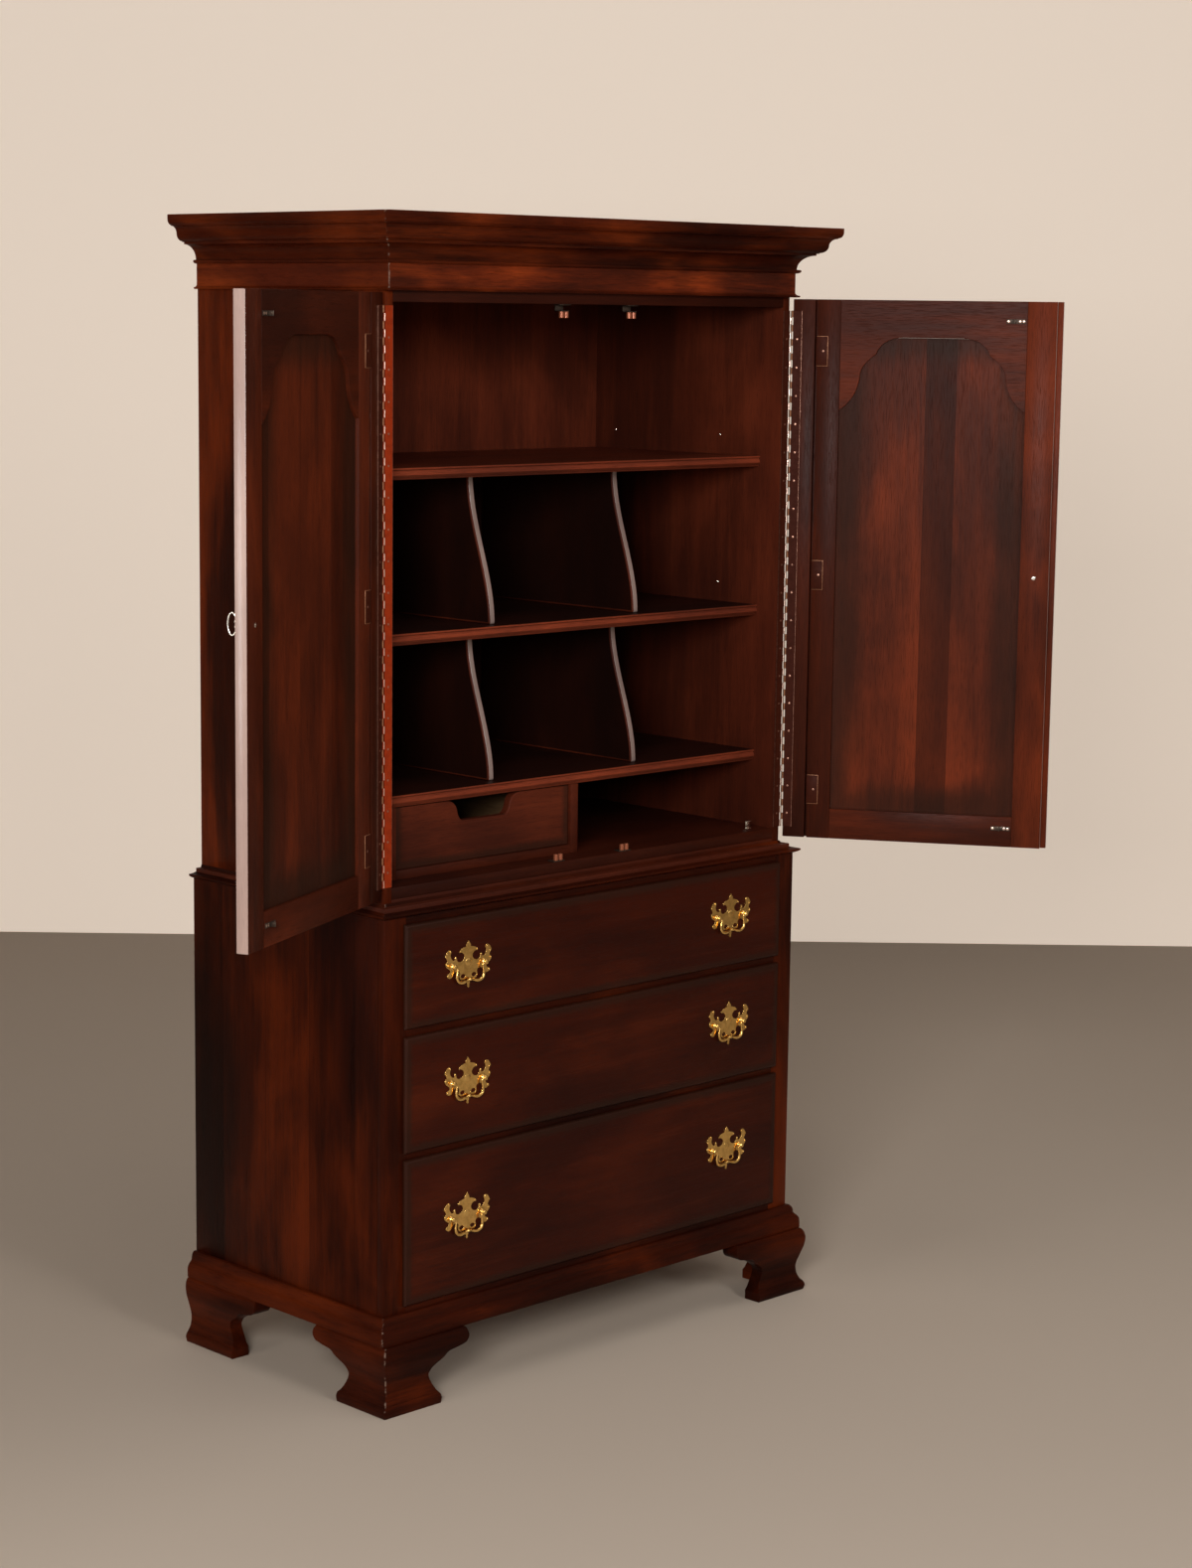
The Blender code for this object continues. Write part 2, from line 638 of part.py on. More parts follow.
def catch(side, base, sign, drop):
    """A double-roller catch standing off its base: base plate, bracket, two upright rollers and a cap."""
    x = side * CATCH_X
    rear = CATCH_FRONT + CATCH_DEEP
    near = base + sign * drop
    seat = near + sign * CATCH_PLATE
    cap = seat + sign * ROLLER_TALL
    bracket_half = ROLLER_X + ROLLER_RADIUS
    pieces = [block((x - 0.013, x + 0.013), (CATCH_FRONT, rear), (base, base + sign * CATCH_PLATE))]
    pieces.append(block((x - bracket_half, x + bracket_half), (rear - CATCH_PLATE - 0.002, rear - 0.002), (base, cap)))
    for low, high in ((near, seat), (cap - sign * 0.001, cap)):
        pieces.append(block((x - bracket_half, x + bracket_half), (CATCH_FRONT + 0.001, rear - 0.003), (low, high)))
    for offset in (-ROLLER_X, ROLLER_X):
        centre = (x + offset, CATCH_FRONT + ROLLER_RADIUS)
        pieces.append(post(centre, ROLLER_RADIUS, (seat - sign * 0.0005, cap - sign * 0.0005)))
    return fuse(*pieces)


def along(side, distance):
    """World x of a point at a distance from the hinge axis on a closed door."""
    return side * (AXIS_X - distance)


def knuckle_spans(moving):
    """Bottom and top of each knuckle of one leaf of the continuous hinge."""
    pitch = (HINGE_TOP - HINGE_BOTTOM) / KNUCKLES
    spans = []
    for index in range(KNUCKLES):
        if (index % 2 == 1) == moving:
            low = HINGE_BOTTOM + index * pitch
            spans.append((low + GAP, low + pitch - GAP))
    return spans


def continuous_leaf(side, moving):
    """One leaf of the continuous hinge: the case leaf holds the pin, the stile leaf is bored for it."""
    axis = (side * AXIS_X, AXIS_Y)
    sign = -1 if moving else 1
    faces = (AXIS_Y + sign * LEAF_CLEAR, AXIS_Y + sign * (LEAF_CLEAR + LEAF_THICK))
    pieces = [block((along(side, LEAF_START), along(side, LEAF_WIDTH)), faces, (HINGE_BOTTOM, HINGE_TOP))]
    for span in knuckle_spans(moving):
        pieces.append(block((along(side, KNUCKLE_TAB), along(side, LEAF_START + 0.0005)), faces, span))
        pieces.append(post(axis, KNUCKLE_RADIUS, span))
    if moving:
        return carve(fuse(*pieces), post(axis, BORE_RADIUS, (HINGE_BOTTOM - 0.01, HINGE_TOP + 0.01)))
    return fuse(*pieces, post(axis, PIN_RADIUS, (HINGE_BOTTOM, HINGE_TOP)))


def hinge_stile(side):
    """Narrow stile between the continuous hinge and the door."""
    return block((along(side, STILE_START), along(side, STILE_END)), (OUTER_FACE, INNER_FACE),
                 (DOOR_BOTTOM, DOOR_TOP))


def arch(inset):
    """Arched outline of the panel opening, as (distance from the hinge axis, height)."""
    low_d, high_d = DOOR_START + HINGE_MARGIN + inset, DOOR_END - FREE_MARGIN - inset
    shoulder = DOOR_TOP - SHOULDER_DROP - inset
    half = (high_d - low_d) / 2
    squeeze = half / ((DOOR_END - FREE_MARGIN - DOOR_START - HINGE_MARGIN) / 2)
    rise = [(0.0, 0.0)]
    rise += bow(rise[-1], (0.0330, 0.0220), (0.0366, 0.0644))
    rise += bow(rise[-1], (0.0380, 0.0820), (0.0646, 0.1004), 3)
    rise += bow(rise[-1], (0.0740, 0.1280), (0.1112, 0.1307))
    rise = [(x * squeeze, z) for x, z in rise]
    outline = [(high_d, DOOR_BOTTOM + BOTTOM_MARGIN + inset), (low_d, DOOR_BOTTOM + BOTTOM_MARGIN + inset)]
    outline += [(low_d + x, shoulder + z) for x, z in rise]
    outline += [(high_d - x, shoulder + z) for x, z in reversed(rise)]
    return outline


def door_frame(side):
    """Door frame with its arched opening, and on the right a lip on the meeting edge."""
    frame = block((along(side, DOOR_START), along(side, DOOR_END)), (OUTER_FACE, INNER_FACE),
                  (DOOR_BOTTOM, DOOR_TOP))
    if side > 0:
        lip = block((along(side, DOOR_END - 0.002), along(side, DOOR_END + LIP_WIDTH)),
                    (OUTER_FACE, OUTER_FACE + DOOR_THICK / 2), (DOOR_BOTTOM, DOOR_TOP))
        frame = fuse(frame, lip)
    opening = loft([[(along(side, d), y, z) for d, z in arch(0.0)] for y in (OUTER_FACE - 0.01, INNER_FACE + 0.01)])
    x = along(side, DOOR_END - KEY_FROM_EDGE)
    bore = rod((x, OUTER_FACE - 0.01, KEY_Z), (x, INNER_FACE + 0.01, KEY_Z), KEY_HOLE)
    return carve(frame, opening, bore)


def door_panel(side):
    """Arched panel, flat inside and with a raised field outside."""
    rings = []
    for inset, depth in ((GAP, PANEL_BACK), (GAP, PANEL_EDGE), (FIELD_MARGIN, PANEL_FIELD)):
        rings.append([(along(side, d), INNER_FACE - depth, z) for d, z in arch(inset)])
    return loft(rings)


def wrap_hinge(side, height):
    """Door leaf of a wrap hinge with its barrel."""
    span = (height - WRAP_TALL / 2, height + WRAP_TALL / 2)
    barrel = post((along(side, WRAP_AXIS), WRAP_AXIS_Y), WRAP_BARREL, span)
    outer = DOOR_START - GAP
    edge = block((along(side, outer - WRAP_PLATE), along(side, outer)), (WRAP_AXIS_Y, INNER_FACE + GAP + WRAP_PLATE),
                 span)
    face = block((along(side, outer - WRAP_PLATE), along(side, outer - WRAP_PLATE + WRAP_WIDE)),
                 (INNER_FACE + GAP, INNER_FACE + GAP + WRAP_PLATE), span)
    return fuse(barrel, edge, face)


def key_pull(side):
    """A pull shaped like a key's bow, bolted through the door."""
    x = along(side, DOOR_END - KEY_FROM_EDGE)
    face = OUTER_FACE - GAP
    middle = face - KEY_REACH + KEY_BOW_DEEP

    def ellipse(deep, tall, sides):
        turns = [2 * math.pi * index / sides for index in range(sides)]
        return [(middle + deep * math.cos(a), KEY_Z + tall * math.sin(a)) for a in turns]

    half = 0.0014
    ring = loft([[(x + dx, y, z) for y, z in ellipse(KEY_BOW_DEEP, KEY_BOW_HALF, 16)] for dx in (-half, half)])
    hole = loft([[(x + dx, y, z) for y, z in ellipse(KEY_BOW_DEEP - KEY_BOW_RING, KEY_BOW_HALF - KEY_BOW_RING, 12)]
                 for dx in (-0.01, 0.01)])
    flange = rod((x, face, KEY_Z), (x, face - 0.0020, KEY_Z), KEY_FLANGE, 12)
    stem = rod((x, face - 0.001, KEY_Z), (x, middle + KEY_BOW_DEEP - 0.002, KEY_Z), KEY_STEM)
    bolt = rod((x, face - 0.001, KEY_Z), (x, INNER_FACE + GAP + 0.0005, KEY_Z), KEY_BOLT)
    nut = rod((x, INNER_FACE + GAP, KEY_Z), (x, INNER_FACE + GAP + 0.0012, KEY_Z), 0.0038)
    return fuse(carve(ring, hole), flange, stem, bolt, nut)


PLATE_HALF = (
    (0.0, 0.0410), (0.0040, 0.0360), (0.0070, 0.0310), (0.0130, 0.0295), (0.0200, 0.0275), (0.0180, 0.0235),
    (0.0150, 0.0195), (0.0175, 0.0150), (0.0250, 0.0135), (0.0310, 0.0180), (0.0370, 0.0200), (0.0420, 0.0260),
    (0.0435, 0.0330), (0.0485, 0.0310), (0.0505, 0.0245), (0.0480, 0.0160), (0.0455, 0.0100), (0.0500, 0.0060),
    (0.0522, 0.0015), (0.0475, -0.0020), (0.0490, -0.0090), (0.0430, -0.0150), (0.0360, -0.0165),
    (0.0300, -0.0130), (0.0240, -0.0165), (0.0190, -0.0235), (0.0120, -0.0265), (0.0070, -0.0255),
    (0.0040, -0.0320), (0.0, -0.0400),
)
BAIL_HALF = (
    (0.0282, -0.0035), (0.0290, -0.0100), (0.0300, -0.0170), (0.0288, -0.0230), (0.0240, -0.0272),
    (0.0170, -0.0285), (0.0085, -0.0270),
)


def pull_plate():
    """Bat-wing plate with two posts, bored on their inner sides for the bail."""
    outline = list(PLATE_HALF) + [(-x, z) for x, z in reversed(PLATE_HALF[1:-1])]
    plate = loft([[(x, y, z) for x, z in outline] for y in (-GAP, -GAP - PLATE_THICK)])
    pieces = [plate]
    holes = []
    for side in (-1, 1):
        x = side * POST_X
        pieces.append(rod((x, -GAP - PLATE_THICK / 2, 0), (x, -POST_REACH, 0), POST_RADIUS))
        holes.append(rod((x - side * 0.010, -BAIL_AXIS, 0), (x + side * 0.0016, -BAIL_AXIS, 0), BAIL_HOLE, 6))
    return carve(fuse(*pieces), *holes)


def pull_bail():
    """Swan-necked bail about its own axis, with a pin at each end."""
    pin_tip = POST_X + 0.0010
    shoulder = POST_X - POST_RADIUS - GAP
    half = [((pin_tip, 0.0), BAIL_PIN), ((shoulder, 0.0), BAIL_PIN), ((shoulder - 0.0010, -0.0004), BAIL_RADIUS)]
    half += [(point, BAIL_RADIUS) for point in BAIL_HALF]
    whole = [((-x, z), r) for (x, z), r in half] + [((0.0, -0.0250), BAIL_MIDDLE)] + list(reversed(half))
    return tube([(x, 0.0, z) for (x, z), _ in whole], [r for _, r in whole], 6)


def build_lower_case(shop):
    """Sides, back, frame, mouldings and feet of the drawer chest."""
    for side, name in ((-1, "left"), (1, "right")):
        board = block((side * LOWER_HALF, side * LOWER_IN), (FRAME_THICK + GAP, CASE_BACK),
                      (FOOT_HEIGHT + GAP, LOWER_TOP))
        shop.place("lower_side_" + name, board, "mahogany")
        shop.place("front_foot_" + name, front_foot(side), "mahogany", smooth_below=35)
        shop.place("rear_foot_" + name, rear_foot(side), "mahogany", smooth_below=35)
    back = block((-LOWER_IN + GAP, LOWER_IN - GAP), (BACK_FRONT, BACK_REAR), (FOOT_HEIGHT + GAP, LOWER_TOP))
    shop.place("lower_back", back, "back_wood")
    shop.place("drawer_frame", drawer_frame(), "mahogany")
    base = moulding(base_profile(), base_profile(), LOWER_HALF, 0.0, CASE_BACK)
    shop.place("base_moulding", base, "mahogany", smooth_below=35)
    shop.place("waist_moulding", waist_moulding(), "mahogany", smooth_below=35)


def build_upper_case(shop):
    """Sides, back, bottom, shelves, dividers, catches and cornice of the cabinet."""
    for side, name in ((-1, "left"), (1, "right")):
        board = block((side * UPPER_HALF, side * UPPER_IN), (UPPER_FRONT, CASE_BACK), (UPPER_FLOOR, UPPER_CEILING))
        shop.place("upper_side_" + name, board, "mahogany")
        for level in (0, 1):
            ceiling, floor = SHELF_TOPS[level] - SHELF_THICK, SHELF_TOPS[level + 1]
            level_name = ("upper", "lower")[level]
            shop.place(f"divider_{level_name}_{name}", divider(side, floor, ceiling), "mahogany_inside",
                       smooth_below=40)
        top_catch = catch(side, TOP_RAIL_BOTTOM - GAP, -1, CATCH_DROP)
        shop.place("catch_top_" + name, top_catch, "roller_brown")
        shop.place("catch_bottom_" + name, catch(side, BOTTOM_TOP + GAP, 1, 0.0), "roller_brown")
        shop.place("hinge_case_leaf_" + name, continuous_leaf(side, False), "hinge_brass")
    back = block((-UPPER_IN + GAP, UPPER_IN - GAP), (BACK_FRONT, BACK_REAR), (UPPER_FLOOR, UPPER_CEILING))
    shop.place("upper_back", back, "back_wood")
    shop.place("upper_bottom", upper_bottom(), "mahogany_inside")
    for number, top in enumerate(SHELF_TOPS, start=1):
        shop.place(f"shelf_{number}", shelf(top), "mahogany_inside", smooth_below=35)
    shop.place("cornice", cornice(), "mahogany", smooth_below=35)


def build_doors(shop):
    """Each door on its wrap hinges, on a stile that turns on the continuous hinge."""
    for side, name, opened in ((-1, "left", -LEFT_OPEN), (1, "right", RIGHT_OPEN)):
        stile_hinge = name + "_stile_hinge"
        shop.pivot(stile_hinge, (side * AXIS_X, AXIS_Y, 0), "case", opened)
        axis = (side * AXIS_X, AXIS_Y, 0)
        shop.place("hinge_stile_" + name, hinge_stile(side), "mahogany", stile_hinge, axis)
        shop.place("hinge_stile_leaf_" + name, continuous_leaf(side, True), "hinge_brass", stile_hinge, axis)
        fold = (along(side, WRAP_AXIS), WRAP_AXIS_Y, 0)
        shop.place("door_frame_" + name, door_frame(side), "mahogany", stile_hinge, fold)
        shop.place("door_panel_" + name, door_panel(side), "mahogany", stile_hinge, fold)
        shop.place("key_pull_" + name, key_pull(side), "pale_brass", stile_hinge, fold, 40)
        for number, height in enumerate(WRAP_HEIGHTS, start=1):
            shop.place(f"wrap_hinge_{name}_{number}", wrap_hinge(side, height), "hinge_brass", stile_hinge, fold)


def build_drawers(shop):
    """Three lipped drawers with their pulls, and the tray drawer."""
    plate_data = bpy.data.meshes.new("pull_plate")
    plate = pull_plate()
    plate.to_mesh(plate_data)
    plate.free()
    bail_data = bpy.data.meshes.new("pull_bail")
    bail = pull_bail()
    bail.to_mesh(bail_data)
    bail.free()
    floors = (RAILS[2][1], RAILS[1][1], RAILS[0][1])
    rows = zip(DRAWERS, floors, PULL_HEIGHTS)
    for number, ((bottom, top), floor, height) in enumerate(rows, start=1):
        shop.place(f"drawer_{number}", drawer(bottom, top, floor), "mahogany", smooth_below=25)
        for side, name in ((-1, "left"), (1, "right")):
            face = (side * PULL_X, -LIP_PROUD, height)
            shop.place_mesh(f"pull_plate_{number}_{name}", plate_data, "brass", "case", face)
            axis = (side * PULL_X, -LIP_PROUD - BAIL_AXIS, height)
            shop.place_mesh(f"pull_bail_{number}_{name}", bail_data, "brass", "case", axis, 60)
    shop.place("tray_drawer", tray_drawer(), "mahogany_inside")


def main():
    """Build the chest."""
    clear_scene()
    shop = Shop()
    middle_x, middle_y = footprint_middle()
    shop.pivot("case", (-middle_x, -middle_y, 0))
    shop.pivots["case"] = Vector((0, 0, 0))
    build_lower_case(shop)
    build_upper_case(shop)
    build_doors(shop)
    build_drawers(shop)


main()
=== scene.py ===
"""A gentleman's chest in mahogany: three long drawers below, a cupboard with two arched doors above."""

import logging
import math
from dataclasses import dataclass, field
from enum import Enum
from functools import partial, partialmethod
from typing import Callable, Sequence

import bpy
from mathutils import Matrix, Vector

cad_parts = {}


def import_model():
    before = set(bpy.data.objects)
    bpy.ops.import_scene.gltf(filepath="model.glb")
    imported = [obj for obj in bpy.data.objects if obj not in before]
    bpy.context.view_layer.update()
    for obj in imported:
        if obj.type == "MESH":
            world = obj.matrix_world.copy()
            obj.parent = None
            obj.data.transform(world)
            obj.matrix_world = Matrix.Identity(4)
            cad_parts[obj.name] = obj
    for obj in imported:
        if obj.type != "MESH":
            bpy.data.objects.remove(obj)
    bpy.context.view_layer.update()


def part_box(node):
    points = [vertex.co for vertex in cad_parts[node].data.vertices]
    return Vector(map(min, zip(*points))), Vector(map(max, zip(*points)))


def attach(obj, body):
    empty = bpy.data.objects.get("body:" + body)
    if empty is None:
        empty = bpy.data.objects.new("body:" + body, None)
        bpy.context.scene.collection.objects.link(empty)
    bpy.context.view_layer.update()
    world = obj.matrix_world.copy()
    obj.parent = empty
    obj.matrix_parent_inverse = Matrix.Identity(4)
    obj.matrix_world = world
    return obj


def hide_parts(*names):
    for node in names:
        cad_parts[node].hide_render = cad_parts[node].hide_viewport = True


log = logging.getLogger("chest")

# The case's own metres: x across from the middle, y back from the lower case's front, z up from the floor.
GAP = .0003
LOWER_HALF, UPPER_HALF, CASE_BACK = .495, .4775, .509
UPPER_FRONT, UPPER_IN = .0214, .4612
FOOT_HEIGHT, BASE_TOP, LOWER_TOP = .118, .1624, .8328
CORNICE_BOTTOM, CORNICE_TOP, BOARD_TOP = 1.8437, 1.9665, 1.9695
AXIS_X, AXIS_Y = .4815, .02
INNER_FACE, OUTER_FACE = .0186, -.0009
DOOR_BOTTOM, DOOR_TOP = .862, 1.841
BACK_Y, RAIL_Y, UPPER_Z = (.497, .503), (.0214, .0404), (.8503, 1.9525)
OPENED = {-1: -155.2, 1: 122.7}
SIDE_NAME = {-1: "left", 1: "right"}

# How far a panel's seam fades, how far in a front's rim is rubbed, and the heights of the bays that get
# painted shade
SEAM, RUBBED, BAY_SHADE = .0006, .02, (.9, 1.9)

Point = tuple[float, float]
Colour = tuple[float, float, float]
Piece = bpy.types.Object


class Grain(Enum):
    """The way the grain of a board runs."""

    ACROSS = 0
    DEEP = 1
    UPRIGHT = 2


ACROSS, DEEP, UPRIGHT = Grain

# Lines of a profile


def bend(start: Point, end: Point, level_first: bool, steps: int = 6) -> list[Point]:
    """Quarter of an ellipse between two points of a profile.

    Args:
        start: the point that the curve leaves, which isn't repeated.
        end: the last point.
        level_first: whether the curve leaves level rather than upright.
        steps: how many points it has.
    Returns:
        The points after start.
    """
    line = []
    for step in range(1, steps + 1):
        angle = step / steps * math.pi / 2
        fast, slow = math.sin(angle), 1 - math.cos(angle)
        across, up = (fast, slow) if level_first else (slow, fast)
        line.append((start[0] + (end[0] - start[0]) * across, start[1] + (end[1] - start[1]) * up))
    return line


def bow(start: Point, control: Point, end: Point, steps: int = 8) -> list[Point]:
    """Parabola from start to end, drawn towards control.

    Args:
        start: the point that the curve leaves, which isn't repeated.
        control: where the two end tangents meet.
        end: the last point.
        steps: how many points it has.
    Returns:
        The points after start.
    """
    line = []
    for step in range(1, steps + 1):
        t = step / steps
        first, second, third = (1 - t) ** 2, 2 * t * (1 - t), t * t
        line.append(tuple(first * a + second * b + third * c for a, b, c in zip(start, control, end)))
    return line


def smooth(points: Sequence[Point], steps: int = 4) -> list[Point]:
    """Curve through all the points.

    Args:
        points: the points, in order.
        steps: how many points each span gets.
    Returns:
        The finer line, both ends kept.
    """
    full = [points[0], *points, points[-1]]
    line = [points[0]]
    for a, b, c, d in zip(full, full[1:], full[2:], full[3:]):
        for step in range(1, steps + 1):
            t = step / steps
            line.append(tuple(.5 * (2 * q + (r - p) * t + (2 * p - 5 * q + 4 * r - s) * t * t
                                    + (3 * q - p - 3 * r + s) * t ** 3) for p, q, r, s in zip(a, b, c, d)))
    return line


# The bench: how a mesh is made


def clear_bench() -> None:
    """Deselects everything, in object mode."""
    if bpy.context.object and bpy.context.object.mode != "OBJECT":
        bpy.ops.object.mode_set(mode="OBJECT")
    bpy.ops.object.select_all(action="DESELECT")


def take(piece: Piece) -> None:
    """Selects one piece alone and makes it the active one.

    Args:
        piece: the piece.
    """
    clear_bench()
    piece.select_set(True)
    bpy.context.view_layer.objects.active = piece


def settle(piece: Piece) -> Piece:
    """Works the place, turn and scale of a piece into its mesh.

    Args:
        piece: the piece.
    Returns:
        The same piece.
    """
    take(piece)
    bpy.ops.object.transform_apply(location=True, rotation=True, scale=True)
    return piece


def planed(piece: Piece, kind: str, **settings: object) -> Piece:
    """Puts a modifier on a piece and applies it.

    Args:
        piece: the piece that is worked.
        kind: the modifier's type.
        settings: the modifier's own settings.
    Returns:
        The same piece.
    """
    take(piece)
    bpy.ops.object.modifier_add(type=kind)
    modifier = piece.modifiers[-1]
    for key, value in settings.items():
        setattr(modifier, key, value)
    bpy.ops.object.modifier_apply(modifier=modifier.name)
    return piece


def eased(piece: Piece, edge: float, steps: int = 2) -> Piece:
    """Rounds every sharp edge of a piece by a small radius."""
    return planed(piece, "BEVEL", width=edge, segments=steps, limit_method="ANGLE",
                  angle_limit=math.radians(35), use_clamp_overlap=True)


def skinned(piece: Piece, angle: float = 32.0) -> Piece:
    """Merges doubles, turns the faces outwards and shades the piece smooth up to an angle.

    Args:
        piece: the piece.
        angle: the angle, in degrees.
    Returns:
        The same piece.
    """
    take(piece)
    bpy.ops.object.mode_set(mode="EDIT")
    bpy.ops.mesh.select_all(action="SELECT")
    bpy.ops.mesh.remove_doubles(threshold=1e-6)
    bpy.ops.mesh.normals_make_consistent(inside=False)
    bpy.ops.object.mode_set(mode="OBJECT")
    bpy.ops.object.shade_smooth_by_angle(angle=math.radians(angle))
    return piece


def board(name: str, x: Point, y: Point, z: Point, edge: float = .0007, steps: int = 2) -> Piece:
    """Plain planed board with eased edges.

    Args:
        name: the piece's name.
        x: its two ends across, in either order.
        y: its two faces from front to back.
        z: its bottom and top.
        edge: the radius of its edges.
        steps: how many facets the edges have.
    Returns:
        The board.
    """
    clear_bench()
    centre = Vector([(p[0] + p[1]) / 2 for p in (x, y, z)])
    bpy.ops.mesh.primitive_cube_add(size=1, location=centre)
    piece = bpy.context.object
    piece.name = name
    piece.scale = [abs(p[1] - p[0]) for p in (x, y, z)]
    settle(piece)
    if edge:
        eased(piece, edge, steps)
    return skinned(piece)


def lofted(name: str, rings: Sequence[Sequence[Sequence[float]]], angle: float = 32.0) -> Piece:
    """Solid through outlines of equally many points: a disc on the first, extruded to each next one.

    Args:
        name: the piece's name.
        rings: the outlines, each a list of points in space.
        angle: the angle up to which it is shaded smooth.
    Returns:
        The solid.
    """
    clear_bench()
    bpy.ops.mesh.primitive_circle_add(vertices=len(rings[0]), radius=1, fill_type="NGON")
    piece = bpy.context.object
    piece.name = name
    for vertex, place in zip(piece.data.vertices, rings[0]):
        vertex.co = place
    previous = rings[0]
    for ring in rings[1:]:
        bpy.ops.object.mode_set(mode="EDIT")
        if previous is rings[0]:
            bpy.ops.mesh.select_all(action="SELECT")
        bpy.ops.mesh.extrude_region_move(TRANSFORM_OT_translate={"value": (0, 0, 0)})
        bpy.ops.object.mode_set(mode="OBJECT")
        fresh = [v for v in piece.data.vertices if v.select][-len(ring):]
        for vertex in fresh:
            gaps = [(vertex.co - Vector(place)).length_squared for place in previous]
            vertex.co = ring[gaps.index(min(gaps))]
        previous = ring
    return skinned(piece, angle)


def drawn(name: str, outline: Sequence[Point], along: Grain, start: float, end: float) -> Piece:
    """Moulding or shaped board of one section, drawn straight along one direction.

    Args:
        name: the piece's name.
        outline: its section, in the two other directions in the order x, y, z.
        along: the direction that it runs in.
        start: where it starts.
        end: where it ends.
    Returns:
        The run.
    """
    def seat(point: Point, depth: float) -> list[float]:
        """Place in space of a point of the section, at this depth along the run."""
        return [*point[:along.value], depth, *point[along.value:]]

    return lofted(name, [[seat(p, depth) for p in outline] for depth in (start, end)])


def sawn(piece: Piece, point: Sequence[float], towards: Sequence[float]) -> Piece:
    """Saws a piece through a plane, and drops what lies towards the given side.

    Args:
        piece: the piece.
        point: a point of the cut.
        towards: the direction in which the waste lies.
    Returns:
        The same piece, closed again at the cut.
    """
    take(piece)
    bpy.ops.object.mode_set(mode="EDIT")
    bpy.ops.mesh.select_all(action="SELECT")
    bpy.ops.mesh.bisect(plane_co=point, plane_no=towards, use_fill=True, clear_outer=True)
    bpy.ops.object.mode_set(mode="OBJECT")
    return skinned(piece)


def pierced(piece: Piece, *cutters: Piece) -> Piece:
    """Cuts shapes out of a piece, and throws the cutters away.

    Args:
        piece: the piece that is cut.
        cutters: solids of the shapes.
    Returns:
        The same piece.
    """
    for cutter in cutters:
        planed(piece, "BOOLEAN", operation="DIFFERENCE", solver="EXACT", object=cutter)
        bpy.data.objects.remove(cutter)
    return skinned(piece)


def copied(piece: Piece, name: str, shift: Sequence[float]) -> Piece:
    """Copy of a piece with its own mesh.

    Args:
        piece: the piece that is copied.
        name: the copy's name.
        shift: how far the copy moves.
    Returns:
        The copy, its place in its mesh.
    """
    take(piece)
    bpy.ops.object.duplicate(linked=False)
    twin = bpy.context.object
    twin.name = name
    twin.location = shift
    return settle(twin)


def repeated(piece: Piece, count: int, pitch: float) -> Piece:
    """Repeats a piece upwards, so that there are count of it, a pitch apart."""
    return planed(piece, "ARRAY", count=count, use_relative_offset=False, use_constant_offset=True,
                  constant_offset_displace=(0, 0, pitch))


def dipped(piece: Piece, finish: bpy.types.Material) -> Piece:
    """Gives a part its one material before it is joined to others.

    Args:
        piece: the part.
        finish: its material.
    Returns:
        The same part.
    """
    piece.data.materials.clear()
    piece.data.materials.append(finish)
    return piece


def clad(piece: Piece, finishes: Sequence[bpy.types.Material],
         choose: Callable[[bpy.types.MeshPolygon], int]) -> None:
    """Gives each face of a piece one of several finishes.

    Args:
        piece: the piece.
        finishes: the finishes.
        choose: gives the number of a face's finish.
    """
    piece.data.materials.clear()
    for finish in finishes:
        piece.data.materials.append(finish)
    for face in piece.data.polygons:
        face.material_index = int(choose(face))


def joined(name: str, *parts: Piece) -> Piece:
    """Makes one object of several parts, which keep their materials.

    Args:
        name: the object's name.
        parts: the parts.
    Returns:
        The object.
    """
    take(parts[0])
    for part in parts:
        part.select_set(True)
    if len(parts) > 1:
        bpy.ops.object.join()
    parts[0].name = name
    return parts[0]


def round_ring(centre: Vector, aim: Vector, radius: float, sides: int) -> list[Vector]:
    """Circle of points about a line.

    Args:
        centre: its middle.
        aim: the line that it stands square to.
        radius: its radius.
        sides: how many points it has.
    Returns:
        The points.
    """
    aim = aim.normalized()
    first = aim.orthogonal().normalized() if abs(aim.y) > .9 else aim.cross(Vector((0, 1, 0))).normalized()
    second = aim.cross(first)
    turns = [2 * math.pi * (k + .5) / sides for k in range(sides)]
    return [centre + (first * math.cos(a) + second * math.sin(a)) * radius for a in turns]


def turned(name: str, start: Sequence[float], aim: Sequence[float], profile: Sequence[Point],
           sides: int) -> Piece:
    """Turned piece about a line.

    Args:
        name: the piece's name.
        start: where the line starts.
        aim: the direction of the line.
        profile: pairs of distance along the line and radius.
        sides: how many facets it has round it.
    Returns:
        The turned piece.
    """
    base, line = Vector(start), Vector(aim).normalized()
    return lofted(name, [round_ring(base + line * far, line, radius, sides) for far, radius in profile])


def wired(name: str, path: Sequence[Sequence[float]], radii: Sequence[float], sides: int = 10) -> Piece:
    """Wire or rod bent along a path.

    Args:
        name: the piece's name.
        path: points of its middle line.
        radii: its radius at each point.
        sides: how many facets it has round it.
    Returns:
        The wire.
    """
    spots = [Vector(p) for p in path]
    ways = [after - before for before, after in zip([spots[0], *spots], [*spots[1:], spots[-1]])]
    rings = [round_ring(spot, way, radius, sides) for spot, way, radius in zip(spots, ways, radii)]
    return lofted(name, rings, angle=50)


# Finishes


